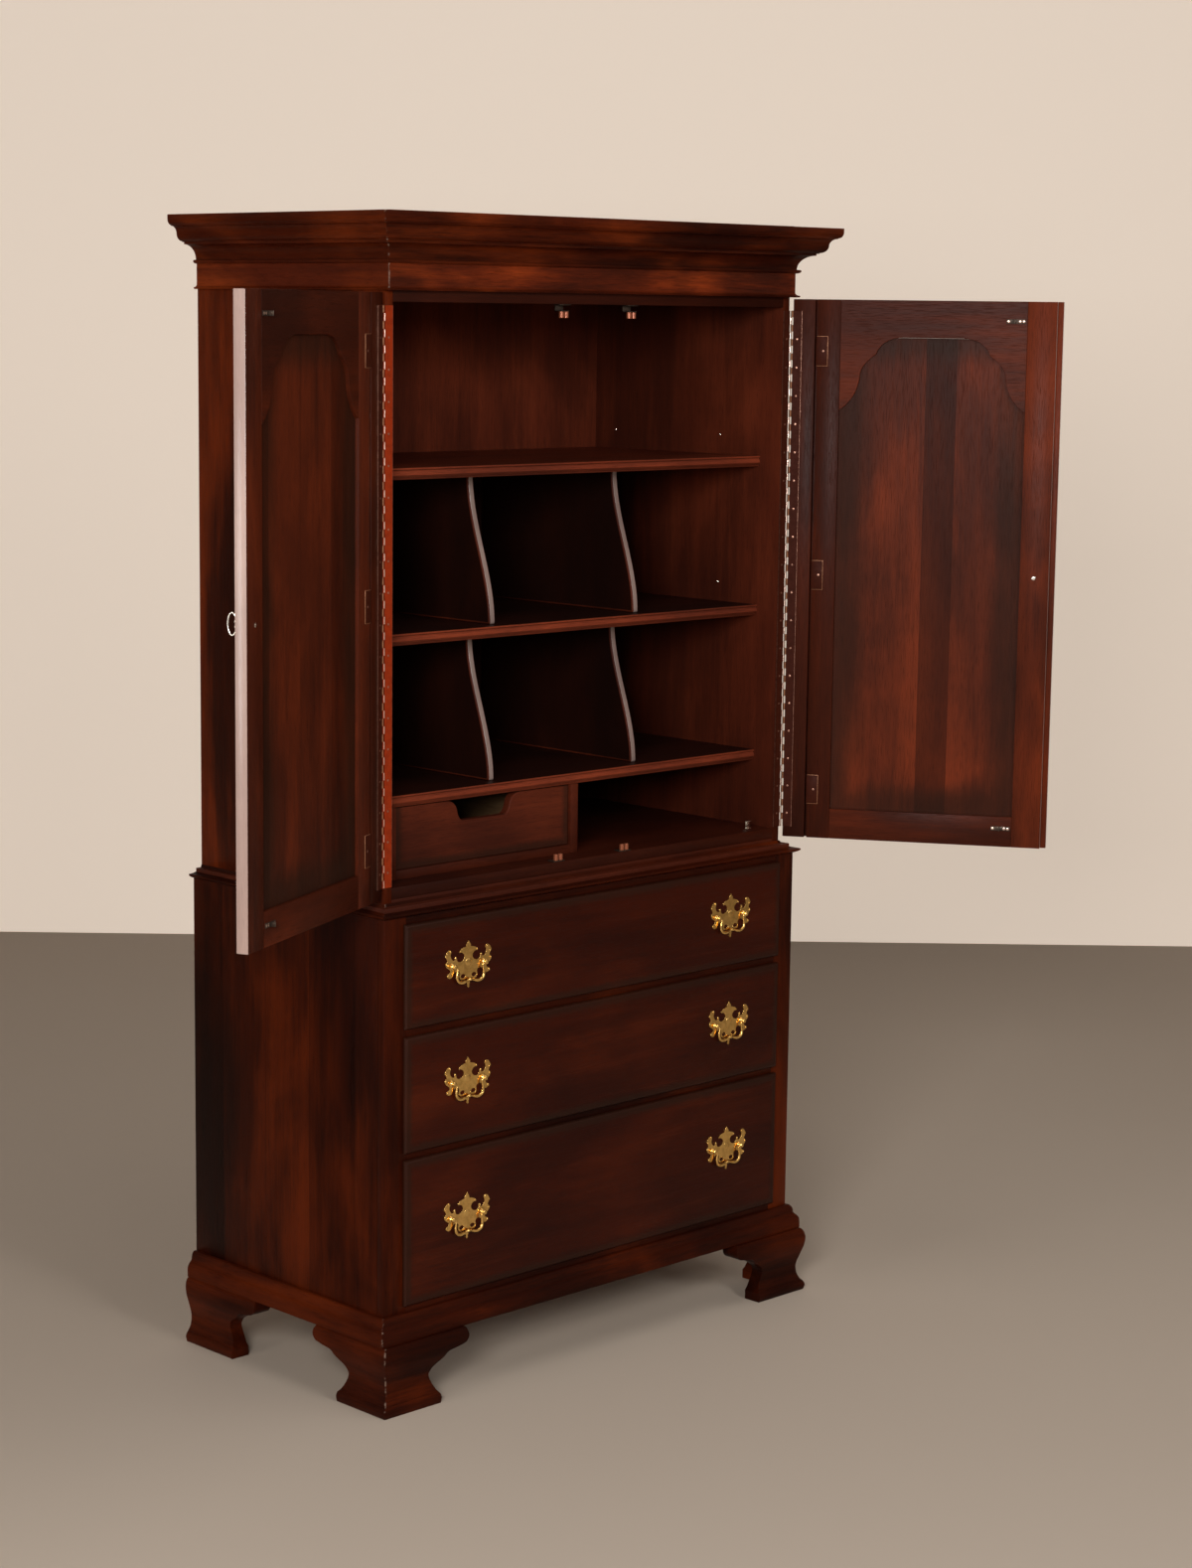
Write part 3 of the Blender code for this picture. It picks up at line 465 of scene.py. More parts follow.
class Wire:
    """A socket of a finish's nodes, on which sums are written as plain Python."""

    def __init__(self, sheet: "Sheet", socket: bpy.types.NodeSocket) -> None:
        """Keeps the socket and the sheet that it belongs to."""
        self.sheet, self.socket = sheet, socket

    def sum(self, operation: str, *others: "Wire | float", turned_round: bool = False) -> "Wire":
        """Adds one Math node; turned round, this wire comes after the others."""
        values = [*others, self] if turned_round else [self, *others]
        return self.sheet.node("ShaderNodeMath", {"operation": operation}, dict(enumerate(values)))

    __add__ = __radd__ = partialmethod(sum, "ADD")
    __sub__, __rsub__ = partialmethod(sum, "SUBTRACT"), partialmethod(sum, "SUBTRACT", turned_round=True)
    __mul__ = __rmul__ = partialmethod(sum, "MULTIPLY")
    __truediv__ = partialmethod(sum, "DIVIDE")
    least, most = partialmethod(sum, "MINIMUM"), partialmethod(sum, "MAXIMUM")
    size, whole = partialmethod(sum, "ABSOLUTE"), partialmethod(sum, "FLOOR")

    def fade(self, low: float, high: float) -> "Wire":
        """0 below low, 1 above high and smooth between them; low above high turns it round."""
        return self.sheet.node("ShaderNodeMapRange", {"interpolation_type": "SMOOTHSTEP"},
                               {"Value": self, "From Min": low, "From Max": high})


class Sheet:
    """The nodes of one finish, or of the world."""

    def __init__(self, name: str, world: bpy.types.World | None = None) -> None:
        """Starts a material whose only nodes are its shader and its output, or works on the world's nodes.

        Args:
            name: the material's name.
            world: the world, or None for a material.
        """
        self.material = world or bpy.data.materials.new(name)
        self.material.use_nodes = True
        self.tree = self.material.node_tree
        self.shader = self.tree.nodes.get("Principled BSDF")

    def node(self, kind: str, settings: dict, inputs: dict, out: int | str = 0) -> Wire:
        """Adds any node.

        Args:
            kind: the node's type.
            settings: its settings; "stops" holds a ramp's places and colours.
            inputs: the values or wires of its sockets, by name or number.
            out: which of its outputs is returned.
        Returns:
            The wire of that output.
        """
        made = self.tree.nodes.new(kind)
        for key, value in settings.items():
            if key == "stops":
                ramp = made.color_ramp
                while len(ramp.elements) < len(value):
                    ramp.elements.new(1.0)
                for element, (place, colour) in zip(ramp.elements, value):
                    element.position = place
                    element.color = (*colour, 1.0)
            else:
                setattr(made, key, value)
        for key, value in inputs.items():
            self.feed(made.inputs[key], value)
        return Wire(self, made.outputs[out])

    def feed(self, socket: bpy.types.NodeSocket, value: object) -> None:
        """Links a wire to a socket, or sets the socket's own value.

        Args:
            socket: the socket.
            value: the wire or value.
        """
        if isinstance(value, Wire):
            self.tree.links.new(value.socket, socket)
        elif isinstance(value, tuple) and len(value) == 3 and socket.type == "RGBA":
            socket.default_value = (*value, 1.0)
        else:
            socket.default_value = value

    def coat(self, **inputs: object) -> bpy.types.Material:
        """Sets sockets of the shader, whose names are written with underscores.

        Args:
            inputs: the values or wires.
        Returns:
            The material.
        """
        for key, value in inputs.items():
            self.feed(self.shader.inputs[key.replace("_", " ")], value)
        return self.material

    def place(self, turn: float = 0.0, stretch: Sequence[float] = (1, 1, 1),
              about: Sequence[float] = (0, 0, 0)) -> Wire:
        """Object coordinates, moved, turned back by a door's angle and stretched.

        Args:
            turn: the angle about the upright, in degrees.
            stretch: the factor in each direction after the turn.
            about: the point that becomes the origin.
        Returns:
            The coordinates' wire.
        """
        spot = self.node("ShaderNodeTexCoord", {}, {}, "Object")
        spot = self.node("ShaderNodeMapping", {"vector_type": "TEXTURE"},
                         {"Vector": spot, "Location": tuple(about), "Rotation": (0, 0, math.radians(turn))})
        return self.node("ShaderNodeVectorMath", {"operation": "MULTIPLY"}, {0: spot, 1: tuple(stretch)})

    def grain_noise(self, spot: Wire, scale: float, detail: float, rough: float, warp: float = 0.0) -> Wire:
        """Noise between 0 and 1: waves per metre, finer layers, their strength and the distortion."""
        return self.node("ShaderNodeTexNoise", {}, {"Vector": spot, "Scale": scale, "Detail": detail,
                                                    "Roughness": rough, "Distortion": warp})

    def blend(self, share: Wire | float, first: object, second: object, way: str = "MIX") -> Wire:
        """Mixes two colours or wires, with this share of the second."""
        return self.node("ShaderNodeMix", {"data_type": "RGBA", "blend_type": way},
                         {"Factor": share, 6: first, 7: second}, 2)

    def apart(self, spot: Wire, axis: Grain) -> Wire:
        """One direction of some coordinates."""
        return self.node("ShaderNodeSeparateXYZ", {}, {0: spot}, axis.value)

    def bumps(self, height: Wire, strength: float, distance: float) -> Wire:
        """Normals of a relief."""
        return self.node("ShaderNodeBump", {}, {"Strength": strength, "Distance": distance, "Height": height})

    def planked(self, colour: Wire, spot: Wire, width: float, across: Grain, dark: Colour) -> Wire:
        """Tints the boards of a glued-up panel one by one, and draws their seams.

        Args:
            colour: the wood's colour.
            spot: the coordinates.
            width: the width of one board.
            across: the direction that they lie side by side in.
            dark: the colour of a seam.
        Returns:
            The tinted colour.
        """
        count = self.apart(spot, across) / width + .37
        number = count.whole()
        tint = self.node("ShaderNodeTexWhiteNoise", {"noise_dimensions": "1D"}, {"W": number})
        stops = ((0.0, (.5, .46, .46)), (.45, (.95, .95, .95)), (1.0, (1.0, 1.0, 1.0)))
        shade = self.node("ShaderNodeValToRGB", {"stops": stops}, {"Fac": tint})
        seam = (count - number - .5).size().fade(.5 - .0012 / width, .5)
        return self.blend(seam * .5, self.blend(.8, colour, shade, "MULTIPLY"), dark)


def toned(colour: Colour, share: float) -> Colour:
    """A colour made darker or lighter."""
    return tuple(c * share for c in colour)


@dataclass(frozen=True)
class Wood:
    """Wood under its polish: three tones of its figure, linear, and how it shines."""

    name: str
    dark: Colour
    mid: Colour
    warm: Colour
    rough: float = .3
    shine: float = .1
    warmth: float = .8
    pores: float = .6
    coat: float = 0.0


@dataclass(frozen=True)
class Metal:
    """Metal of a fitting, bright on its high places and dull elsewhere."""

    name: str
    bright: Colour
    dull: Colour
    rough: float
    patina: float
    metallic: float = 1.0
    shine: float = .5


MAHOGANY = Wood("mahogany", (.012, .0024, .0012), (.04, .0056, .0015), (.125, .0175, .0027), .3, .05)
DRAWER_RED = Wood("drawer_front", (.026, .004, .0018), (.048, .0064, .002), (.085, .0122, .0028), .26)
CORNICE_RED = Wood("cornice", (.017, .0033, .0015), (.062, .0084, .0022), (.215, .033, .0055), .28, .05)
DOOR_INSIDE = Wood("door_inside", (.036, .0084, .0044), (.072, .0135, .0054), (.15, .0245, .0072),
                   .34, .05)
INSIDE = Wood("inside", (.046, .0095, .0048), (.092, .0165, .0068), (.145, .0265, .0098), .38, .08)
BACKBOARD = Wood("backboard", (.06, .019, .009), (.13, .045, .02), (.19, .075, .032), .55, .1)
# A pale colour standing for light on edges: a painted reflection on the doors' free edges and a painted
# highlight on the dividers' fronts
EDGE_GLINT = Wood("glint_edge", (.42, .28, .24), (.56, .39, .33), (.64, .44, .37),
                   .3, .5, .5, .3, .4)
TOP_EDGE = Wood("top_board", (.12, .045, .018), (.23, .09, .035), (.3, .13, .055), .5, .1)
DRAWER_LINING = Wood("drawer_lining", (.12, .06, .026), (.21, .115, .052), (.28, .165, .08), .55, .12)
BRASS = Metal("pull_brass", (.9, .58, .19), (.4, .22, .05), .17, .5)
# Pale metal: a painted highlight on the case leaf's knuckles, and the strikes' screw heads
HINGE_BRASS = Metal("hinge_brass", (.88, .66, .56), (.4, .2, .14), .3, .35)
# A brighter red lacquer, painted light on the left case leaf
HINGE_RED_LIT = Metal("hinge_lacquer", (.3, .03, .006), (.17, .018, .0045), .45, .5, 0.0, .06)
HINGE_DARK = Metal("dark_hinge_lacquer", (.052, .0105, .0048), (.03, .0065, .0032), .45, .5, 0.0, .05)
# Orange metal: a painted highlight on the stile leaf's knuckles, and rubbed rims on the small hinges
HINGE_RUB_AND_GLINT = Metal("rubbed_hinge_edge", (.4, .18, .09), (.16, .06, .03), .4, .6, .4, .3)
HINGE_WORN = Metal("hinge_screws", (.46, .24, .17), (.09, .035, .022), .34, .7, .9)
KEY_METAL = Metal("key_metal", (.96, .92, .84), (.66, .56, .4), .2, .12)
CATCH_METAL = Metal("catch_metal", (.085, .06, .045), (.018, .013, .01), .4, .75, .7, .3)
ROLLERS = Metal("catch_rollers", (.38, .115, .055), (.2, .055, .028), .28, .35, .35)

# Colours in the wood: a darker board, a near-black painted shade, bare wood at a chipped arris, and a rubbed
# rim
CORE_RED, PAINTED_SHADE, CHIPPED, SMOKED = (.02, .005, .0026), (.003, .002, .0016), (.3, .2, .15), (.02, .0092, .0052)


@dataclass
class Workshop:
    """Cuts the finishes, and carries finished pieces from the case's own metres into the frame."""

    origin: Vector
    cut_before: dict = field(default_factory=dict)

    def turn(self, side: int) -> Matrix:
        """Turn of one door from closed to its place at rest, or none for the case.

        Args:
            side: -1 or 1 on the left or right door, 0 on the case.
        Returns:
            The turn.
        """
        if not side:
            return Matrix.Identity(4)
        axis = Matrix.Translation((side * AXIS_X, AXIS_Y, 0))
        return axis @ Matrix.Rotation(math.radians(OPENED[side]), 4, "Z") @ axis.inverted()

    def hang(self, piece: Piece, finish: bpy.types.Material | None = None, body: str = "case",
             side: int = 0, stands_for: Sequence[str] = ()) -> None:
        """Finishes a piece, puts it in its place and lets it move with a body.

        Args:
            piece: the piece, in the case's own metres and on a closed door.
            finish: its material, or None where its parts have theirs.
            body: the body that carries it.
            side: -1 or 1 on the left or right door, 0 elsewhere.
            stands_for: the solids that it replaces.
        """
        if finish:
            dipped(piece, finish)
        piece.matrix_world = Matrix.Translation(self.origin) @ self.turn(side)
        settle(piece)
        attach(piece, body)
        if stands_for:
            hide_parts(*stands_for)
        log.info("%s: %d faces, on %s", piece.name, len(piece.data.polygons), body)

    def hang_boards(self, parts: Sequence[tuple], body: str, edge: float, steps: int = 2) -> None:
        """Makes boards, each given as name, x, y, z and finish, and puts them in their places."""
        for name, x, y, z, finish in parts:
            self.hang(board(name, x, y, z, edge, steps), finish, body)

    def wood(self, wood: Wood, grain: Grain, side: int = 0, planks: float = 0.0, across: Grain = ACROSS,
             tone: float = 1.0, mitre: Point | None = None, rim: tuple[float, ...] = (),
             core: Point | None = None, shade_heights: Point | None = None) -> bpy.types.Material:
        """Material of a board of some wood.

        Args:
            wood: the wood and its polish.
            grain: the way of its grain.
            side: -1 or 1 on a door, whose grain turns with it.
            planks: width of the boards that it is glued up from, 0 for one board.
            across: the direction that they lie side by side in.
            tone: how light this board is.
            mitre: half width and front of the corner that is chipped pale at its arris.
            rim: low x, high x, low z, high z of a front whose edges are rubbed dark, and how far in.
            core: the two seams of a darker board, as distances from a door's hinge axis.
            shade_heights: two heights between which the wood is painted nearly black as painted shade.
        Returns:
            The material, made once for each choice.
        """
        choice = (wood, grain, side, planks, across, tone, mitre, rim, core, shade_heights)
        if choice in self.cut_before:
            return self.cut_before[choice]
        sheet = Sheet(f"{wood.name}_{grain.name.lower()}_{len(self.cut_before)}")
        about = self.origin + (Vector((side * AXIS_X, AXIS_Y, 0)) if side else Vector())
        here = partial(sheet.place, OPENED.get(side, 0.0), about=about)
        long, broad, soft = ([s if axis is grain else 1.0 for axis in Grain] for s in (.055, .13, .36))
        figure = sheet.grain_noise(here(broad), 11, 3, .5, .5)
        streak = sheet.grain_noise(here(long), 70, 4, .6, .4)
        fibre = sheet.grain_noise(here(long), 480, 2, .6)
        pore = sheet.grain_noise(here([s * (.6 if s < 1 else 1) for s in long]), 1250, 1, .5)
        mottle = sheet.grain_noise(here(soft), 6.5, 4, .55, .7)
        cloud = sheet.grain_noise(here([.5 if s < 1 else 1 for s in soft]), 3.4, 3, .5, .9)
        depth = (figure * .3 + cloud * .42 + streak * .16 + fibre * .12).fade(.38, .6)
        glow = (mottle * .55 + cloud * .33 + streak * .12).fade(.45, .66) * wood.warmth
        colour = sheet.blend(depth, toned(wood.dark, tone), toned(wood.mid, tone))
        colour = sheet.blend(glow * (depth * .6 + .4), colour, toned(wood.warm, tone))
        if planks:
            colour = sheet.planked(colour, here(), planks, across, toned(wood.dark, .5))
        hollow = pore.fade(.56, .68) * wood.pores
        colour = sheet.blend(hollow * .65, colour, toned(wood.dark, .35))
        rough = streak * .1 + hollow * .18 + mottle * .06 + (wood.rough - .08)
        if mitre or rim or core or shade_heights:
            spread = here()
            x, y, z = (sheet.apart(spread, axis) for axis in Grain)
            chips = sheet.grain_noise(spread, 95, 3, .6)
        if core:
            far = x * -side
            band = (far - core[0]).fade(-SEAM, SEAM) * (core[1] - far).fade(-SEAM, SEAM)
            seams = (far - core[0]).size().least((far - core[1]).size()).fade(.0012, 0.0)
            colour = sheet.blend(band * (figure * .5 + .35) + seams * .2, colour, CORE_RED)
        # Painted shade: the wood is made nearly black between the two heights
        if shade_heights:
            dark = (z - shade_heights[0]).fade(-.004, .004) * (shade_heights[1] - z).fade(-.004, .004)
            colour = sheet.blend(dark * (streak * .16 + .76), colour, PAINTED_SHADE)
        if mitre:
            arris = (x.size() - mitre[0] + y - mitre[1]).size().fade(.003, .0004)
            colour = sheet.blend(arris * chips.fade(.5, .64) * .75, colour, CHIPPED)
        if rim:
            left, right, low, high, *reach = rim
            reach = reach[0] if reach else RUBBED
            near = (x - left).least(right - x).least(z - low).least(high - z)
            wavy = near + (chips - .5) * .01 + (mottle - .5) * (reach - RUBBED)
            colour = sheet.blend(wavy.fade(reach, reach * .3) * .62, colour, SMOKED)
            rough = rough + near.fade(.016, .006) * .07
        normal = sheet.bumps(fibre * .35 + streak * .25 - hollow, .22, .0006)
        made = sheet.coat(Base_Color=colour, Roughness=rough, Normal=normal, Specular_IOR_Level=wood.shine,
                          Coat_Weight=wood.coat, Coat_Roughness=.15)
        self.cut_before[choice] = made
        return made

    def metal(self, metal: Metal) -> bpy.types.Material:
        """Material of a fitting, made once for each metal.

        Args:
            metal: the metal.
        Returns:
            The material.
        """
        if metal in self.cut_before:
            return self.cut_before[metal]
        sheet = Sheet(f"{metal.name}_{len(self.cut_before)}")
        spot = sheet.place()
        cloud = sheet.grain_noise(spot, 95, 4, .6, .3)
        speck = sheet.grain_noise(spot, 620, 3, .6)
        rub = sheet.grain_noise(sheet.place(0, (1, 1, .12)), 1500, 2, .5)
        stain = (cloud * .7 + speck * .3).fade(.42, .64) * metal.patina
        colour = sheet.blend(stain, metal.bright, metal.dull)
        colour = sheet.blend(speck.fade(.6, .7) * metal.patina * .6, colour, toned(metal.dull, .5))
        rough = stain * .22 + rub * .08 + (metal.rough - .05)
        normal = sheet.bumps(rub * .4 + speck * .6, .18, .0003)
        made = sheet.coat(Base_Color=colour, Roughness=rough, Normal=normal, Metallic=metal.metallic,
                          Specular_IOR_Level=metal.shine)
        self.cut_before[metal] = made
        return made


# The lower case


def mitred(name: str, side_line: Sequence[Point], front_line: Sequence[Point], half: float,
           front: float) -> list[Piece]:
    """Three runs of a moulding, mitred at the front corners.

    Args:
        name: the runs' name.
        side_line: the section of the side runs, as distance out from the side and height.
        front_line: the section of the front run, as distance out from the front and height.
        half: half the width that the moulding goes round.
        front: the front that it goes round.
    Returns:
        The left, right and front runs.
    """
    runs = []
    beyond = .12
    for side in (-1, 1):
        section = [(side * (half + out), z) for out, z in side_line]
        run = drawn(f"{name}_{SIDE_NAME[side]}", section, DEEP, front - beyond, CASE_BACK)
        runs.append(sawn(run, (side * half, front, 0), (-side, -1, 0)))
    section = [(front - out, z) for out, z in front_line]
    run = drawn(f"{name}_front", section, ACROSS, -half - beyond, half + beyond)
    for side in (-1, 1):
        sawn(run, (side * half, front, 0), (side, 1, 0))
    return [*runs, run]


@dataclass
class Feet:
    """Ogee bracket feet: mitred brackets at the front, a bracket and a plain board at the rear."""

    line: tuple[Point, ...] = (
        (.0175, .118), (.0222, .112), (.0242, .101), (.0226, .086), (.0172, .068), (.013, .053),
        (.0118, .041), (.0138, .029), (.0185, .02), (.0232, .014), (.0244, .008), (.0225, 0))
    scroll: tuple[Point, ...] = (
        (.1255, 0), (.1255, .0165), (.1205, .022), (.1072, .048), (.1088, .058), (.115, .0655),
        (.1335, .0765), (.142, .085), (.153, .088), (.169, .0905), (.182, .0945), (.1882, .1055),
        (.1846, .119))
    toe_point: int = 8
    toe_step: Point = (.0009, -.0002)
    out: float = .0244
    inside: float = -.0125
    forward: float = .0075
    long: float = .19
    spare: float = .03
    rear: float = CASE_BACK - .006
    board_in: float = .365
    board_out: float = .4822
    board_y: Point = (.489, .5088)
    board_low: Point = (.03, .06)
    board_shoulder: float = .0835
    board_foot: float = .055
    scroll_waste: tuple[float, ...] = (-.01, .13, .25)

    def section(self) -> list[Point]:
        """Section of a bracket, as distance out and height, with the fine step over its toe.

        Returns:
            The points of the section.
        """
        toe = smooth(self.line[self.toe_point:], 4)
        step = tuple(a + b for a, b in zip(toe[0], self.toe_step))
        upper = smooth(self.line[:self.toe_point + 1], 5)
        return [*upper, step, *toe[1:], (self.inside, 0), (self.inside, FOOT_HEIGHT)]

    def scrolled(self, piece: Piece, grain: Grain, corner: float, step: int) -> Piece:
        """Saws the scroll out of a bracket.

        Args:
            piece: the bracket.
            grain: the direction that it runs in.
            corner: the place of the foot's corner in that direction.
            step: the way that the bracket runs from there.
        Returns:
            The bracket.
        """
        under, above, beyond = self.scroll_waste
        line = [(self.scroll[0][0], under), *self.scroll[:2], *smooth(self.scroll[2:], 4),
                (self.scroll[-1][0], above), (beyond, above), (beyond, under)]
        other, reach = (DEEP, .08) if grain is ACROSS else (ACROSS, .6)
        waste = drawn("scroll", [(corner + step * far, z) for far, z in line], other, -reach, reach)
        return pierced(piece, waste)

    def build(self, shop: Workshop) -> None:
        """Builds the four feet.

        Args:
            shop: the workshop.
        """
        section = self.section()
        mitre = (LOWER_HALF, -self.forward)
        corner_x, corner_y = LOWER_HALF + self.out, -self.forward - self.out
        for side, word in SIDE_NAME.items():
            seam = (side * LOWER_HALF, -self.forward, 0)
            face = [(-self.forward - out, z) for out, z in section]
            front = drawn(f"foot_front_bracket_{word}", face, ACROSS, side * (corner_x - self.long),
                          side * (corner_x + self.spare))
            self.scrolled(sawn(front, seam, (side, 1, 0)), ACROSS, side * corner_x, -side)
            shop.hang(front, shop.wood(MAHOGANY, ACROSS, mitre=mitre), stands_for=(f"front_foot_{word}",))
            flank = [(side * (LOWER_HALF + out), z) for out, z in section]
            near = drawn(f"foot_side_bracket_{word}", flank, DEEP, corner_y - self.spare,
                         corner_y + self.long)
            self.scrolled(sawn(near, seam, (-side, -1, 0)), DEEP, corner_y, 1)
            shop.hang(near, shop.wood(MAHOGANY, DEEP, mitre=mitre))
            rear = drawn(f"foot_rear_bracket_{word}", flank, DEEP, self.rear - self.long, CASE_BACK)
            self.scrolled(rear, DEEP, self.rear, -1)
            shop.hang(rear, shop.wood(MAHOGANY, DEEP), stands_for=(f"rear_foot_{word}",))
            low, high = self.board_in, self.board_out
            step, rise = self.board_low
            shape = [(low + step, rise), (low, self.board_shoulder), (low, FOOT_HEIGHT), (high, FOOT_HEIGHT),
                     (high, 0), (low + self.board_foot, 0)]
            plate = drawn(f"foot_rear_board_{word}", [(side * x, z) for x, z in shape], DEEP, *self.board_y)
            shop.hang(eased(plate, .0006), shop.wood(BACKBOARD, ACROSS))


@dataclass
class LowerCase:
    """Sides, back, front frame, runners and mouldings of the drawer case."""

    rails: tuple[Point, ...] = ((.1183, .1775), (.4193, .4393), (.6285, .6485), (.817, .8325))
    side_in: float = .477
    side_front: float = .0163
    post_in: float = .448
    post_y: Point = (0, .016)
    post_z: Point = (.1183, .8325)
    rail_half: float = .4477
    rail_y: Point = (.0002, .022)
    runner_x: Point = (.405, .4767)
    runner_y: Point = (.0223, .496)
    guide_in: float = .4487
    guide_tall: float = .02
    back_half: float = .4767
    back_boards: int = 7
    seam: float = .0004
    waist_in: Point = (.0172, .0211)
    waist_half: float = .49
    waist_y: Point = (.005, .5087)
    waist_z: Point = (.8331, .8497)

    def base(self) -> list[Point]:
        """Section of the base moulding.

        Returns:
            The points, as distance out and height.
        """
        top = BASE_TOP
        line = [(GAP, top), (.004, top), *bend((.004, top), (.0108, top - .0145), True, 7)]
        line += bow(line[-1], (.012, top - .017), (.0145, top - .019), 4)
        line += bow(line[-1], (.0197, top - .024), (.0197, top - .031), 7)
        return [*line, (.0197, FOOT_HEIGHT + GAP), (GAP, FOOT_HEIGHT + GAP)]

    def waist(self, inner: float) -> list[Point]:
        """Section of the waist moulding.

        Args:
            inner: how far in its inner edge lies.
        Returns:
            The points, as distance out and height.
        """
        low = LOWER_TOP
        line = [(-inner, low + GAP), (.002, low + GAP), (.007, low + .0026), (.01, low + .0048)]
        line.append((.01, low + .0078))
        return [*line, *bend(line[-1], (-inner, low + .0218), True, 9)]

    def flank(self, shop: Workshop, side: int, word: str) -> None:
        """Builds one side with its post, runners and guides.

        Args:
            shop: the workshop.
            side: -1 for the left, 1 for the right.
            word: the side's name.
        """
        outside = side * LOWER_HALF
        panel = board(f"lower_side_board_{word}", (side * self.side_in, outside),
                      (self.side_front, CASE_BACK), (FOOT_HEIGHT + GAP, LOWER_TOP), .0004)
        shop.hang(panel, shop.wood(MAHOGANY, UPRIGHT, planks=.118, across=DEEP),
                  stands_for=(f"lower_side_{word}",))
        post = board(f"front_post_{word}", (side * self.post_in, outside), self.post_y, self.post_z, .0008)
        shop.hang(post, shop.wood(MAHOGANY, UPRIGHT, tone=1.1),
                  stands_for=("drawer_frame",) if side < 0 else ())
        inner, outer = (side * x for x in self.runner_x)
        for low, high in self.rails:
            pieces = [board(f"runner_{word}", (inner, outer), self.runner_y, (low, high), .001)]
            if (low, high) != self.rails[-1]:
                pieces.append(board("guide", (side * self.guide_in, outer), self.runner_y,
                                    (high, high + self.guide_tall), .001))
            shop.hang(joined(f"runner_{word}", *pieces), shop.wood(DRAWER_LINING, DEEP))

    def build(self, shop: Workshop) -> None:
        """Builds the case.

        Args:
            shop: the workshop.
        """
        for side, word in SIDE_NAME.items():
            self.flank(shop, side, word)
        for number, (low, high) in enumerate(self.rails, 1):
            rail = board(f"front_rail_{number}", (-self.rail_half, self.rail_half), self.rail_y,
                         (low, high), .0008)
            shop.hang(rail, shop.wood(MAHOGANY, ACROSS))
        width = 2 * self.back_half / self.back_boards
        starts = [-self.back_half + k * width for k in range(self.back_boards)]
        planks = [board("lower_back_boards", (start + self.seam, start + width - self.seam), BACK_Y,
                        (FOOT_HEIGHT + GAP, LOWER_TOP), .0012, 1) for start in starts]
        shop.hang(joined("lower_back_boards", *planks), shop.wood(BACKBOARD, UPRIGHT, planks=width),
                  stands_for=("lower_back",))
        plank = board("waist_board", (-self.waist_half, self.waist_half), self.waist_y, self.waist_z, .0006)
        shop.hang(plank, shop.wood(INSIDE, ACROSS))
        side_in, front_in = self.waist_in
        lines = {"base": (self.base(), self.base()), "waist": (self.waist(side_in), self.waist(front_in))}
        for node, (side_line, front_line) in lines.items():
            left, right, front = mitred(f"{node}_run", side_line, front_line, LOWER_HALF, 0.0)
            # Painted light: the front runs are made lighter than the side runs
            for run, grain, tone in ((left, DEEP, 1.0), (right, DEEP, 1.0), (front, ACROSS, 1.3)):
                shop.hang(run, shop.wood(MAHOGANY, grain, mitre=(LOWER_HALF, 0.0), tone=tone),
                          stands_for=(f"{node}_moulding",) if run is front else ())


# The upper case


@dataclass
class Cornice:
    """Crown moulding with its frieze, the board behind it, the rail under it and the top board."""

    half: float = UPPER_HALF
    front: float = .0115
    board_half: float = .4776
    board_front: float = .0114
    frieze: Point = (CORNICE_TOP - .1195, CORNICE_TOP - .08)
    frieze_back: float = .0211
    frieze_top: float = 1.9526
    rail_low: float = 1.8258
    top_back: float = .5087
    top_low: float = 1.9528

    def crown(self) -> list[Point]:
        """Section of the crown and frieze, as distance out and height.

        Returns:
            The points of the section.
        """
        d = CORNICE_TOP
        line = [(GAP, d), (.0616, d), (.062, d - .0004), (.062, d - .0067)]
        line += bend(line[-1], (.0548, d - .0176), False)
        line += [(.0548, d - .0186), *bend((.0548, d - .0186), (.0432, d - .0312), True)]
        line += bend(line[-1], (.0315, d - .0439), False)
        line += [(.0315, d - .0452), (.0277, d - .0452), (.0277, d - .0486)]
        line += bend(line[-1], (.003, d - .0738), True, 10)
        line += [(.0075, d - .0742), *bend((.0075, d - .0742), (.009, d - .0765), True, 4)]
        line += bend(line[-1], (.0016, d - .0806), False, 5)
        line += [(.0016, d - .1143), *bend((.0016, d - .1143), (.0083, d - .1198), False, 6)]
        return [*line, *bend(line[-1], (.0065, CORNICE_BOTTOM), False, 3), (GAP, CORNICE_BOTTOM)]

    def build(self, shop: Workshop) -> None:
        """Builds the cornice.

        Args:
            shop: the workshop.
        """
        line = self.crown()
        left, right, front = mitred("cornice_run", line, line, self.half, self.front)
        low, high = self.frieze
        mitre = (self.half, self.front)
        for run in (left, right, front):
            # Painted light: the front run is made lighter than the side runs, and the frieze band lighter
            # again
            grain, painted_light_tones = (ACROSS, (1.2, 2.5)) if run is front else (DEEP, (.85, 1.3))
            clad(run, [shop.wood(CORNICE_RED, grain, mitre=mitre, tone=tone) for tone in painted_light_tones],
                 lambda face: low < face.center.z < high)
            shop.hang(run, stands_for=("cornice",) if run is front else ())
        across = (-self.board_half, self.board_half)
        frieze = board("frieze_board", across, (self.board_front, self.frieze_back),
                       (CORNICE_BOTTOM, self.frieze_top), .0003)
        shop.hang(frieze, shop.wood(MAHOGANY, ACROSS))
        rail = board("cornice_rail", (-UPPER_IN, UPPER_IN), RAIL_Y, (self.rail_low, UPPER_Z[1]), .001)
        shop.hang(rail, shop.wood(INSIDE, ACROSS, tone=.5))
        top = board("top_board", across, (self.board_front, self.top_back), (self.top_low, BOARD_TOP), .0015)
        shop.hang(top, shop.wood(TOP_EDGE, ACROSS, planks=.165, across=DEEP))


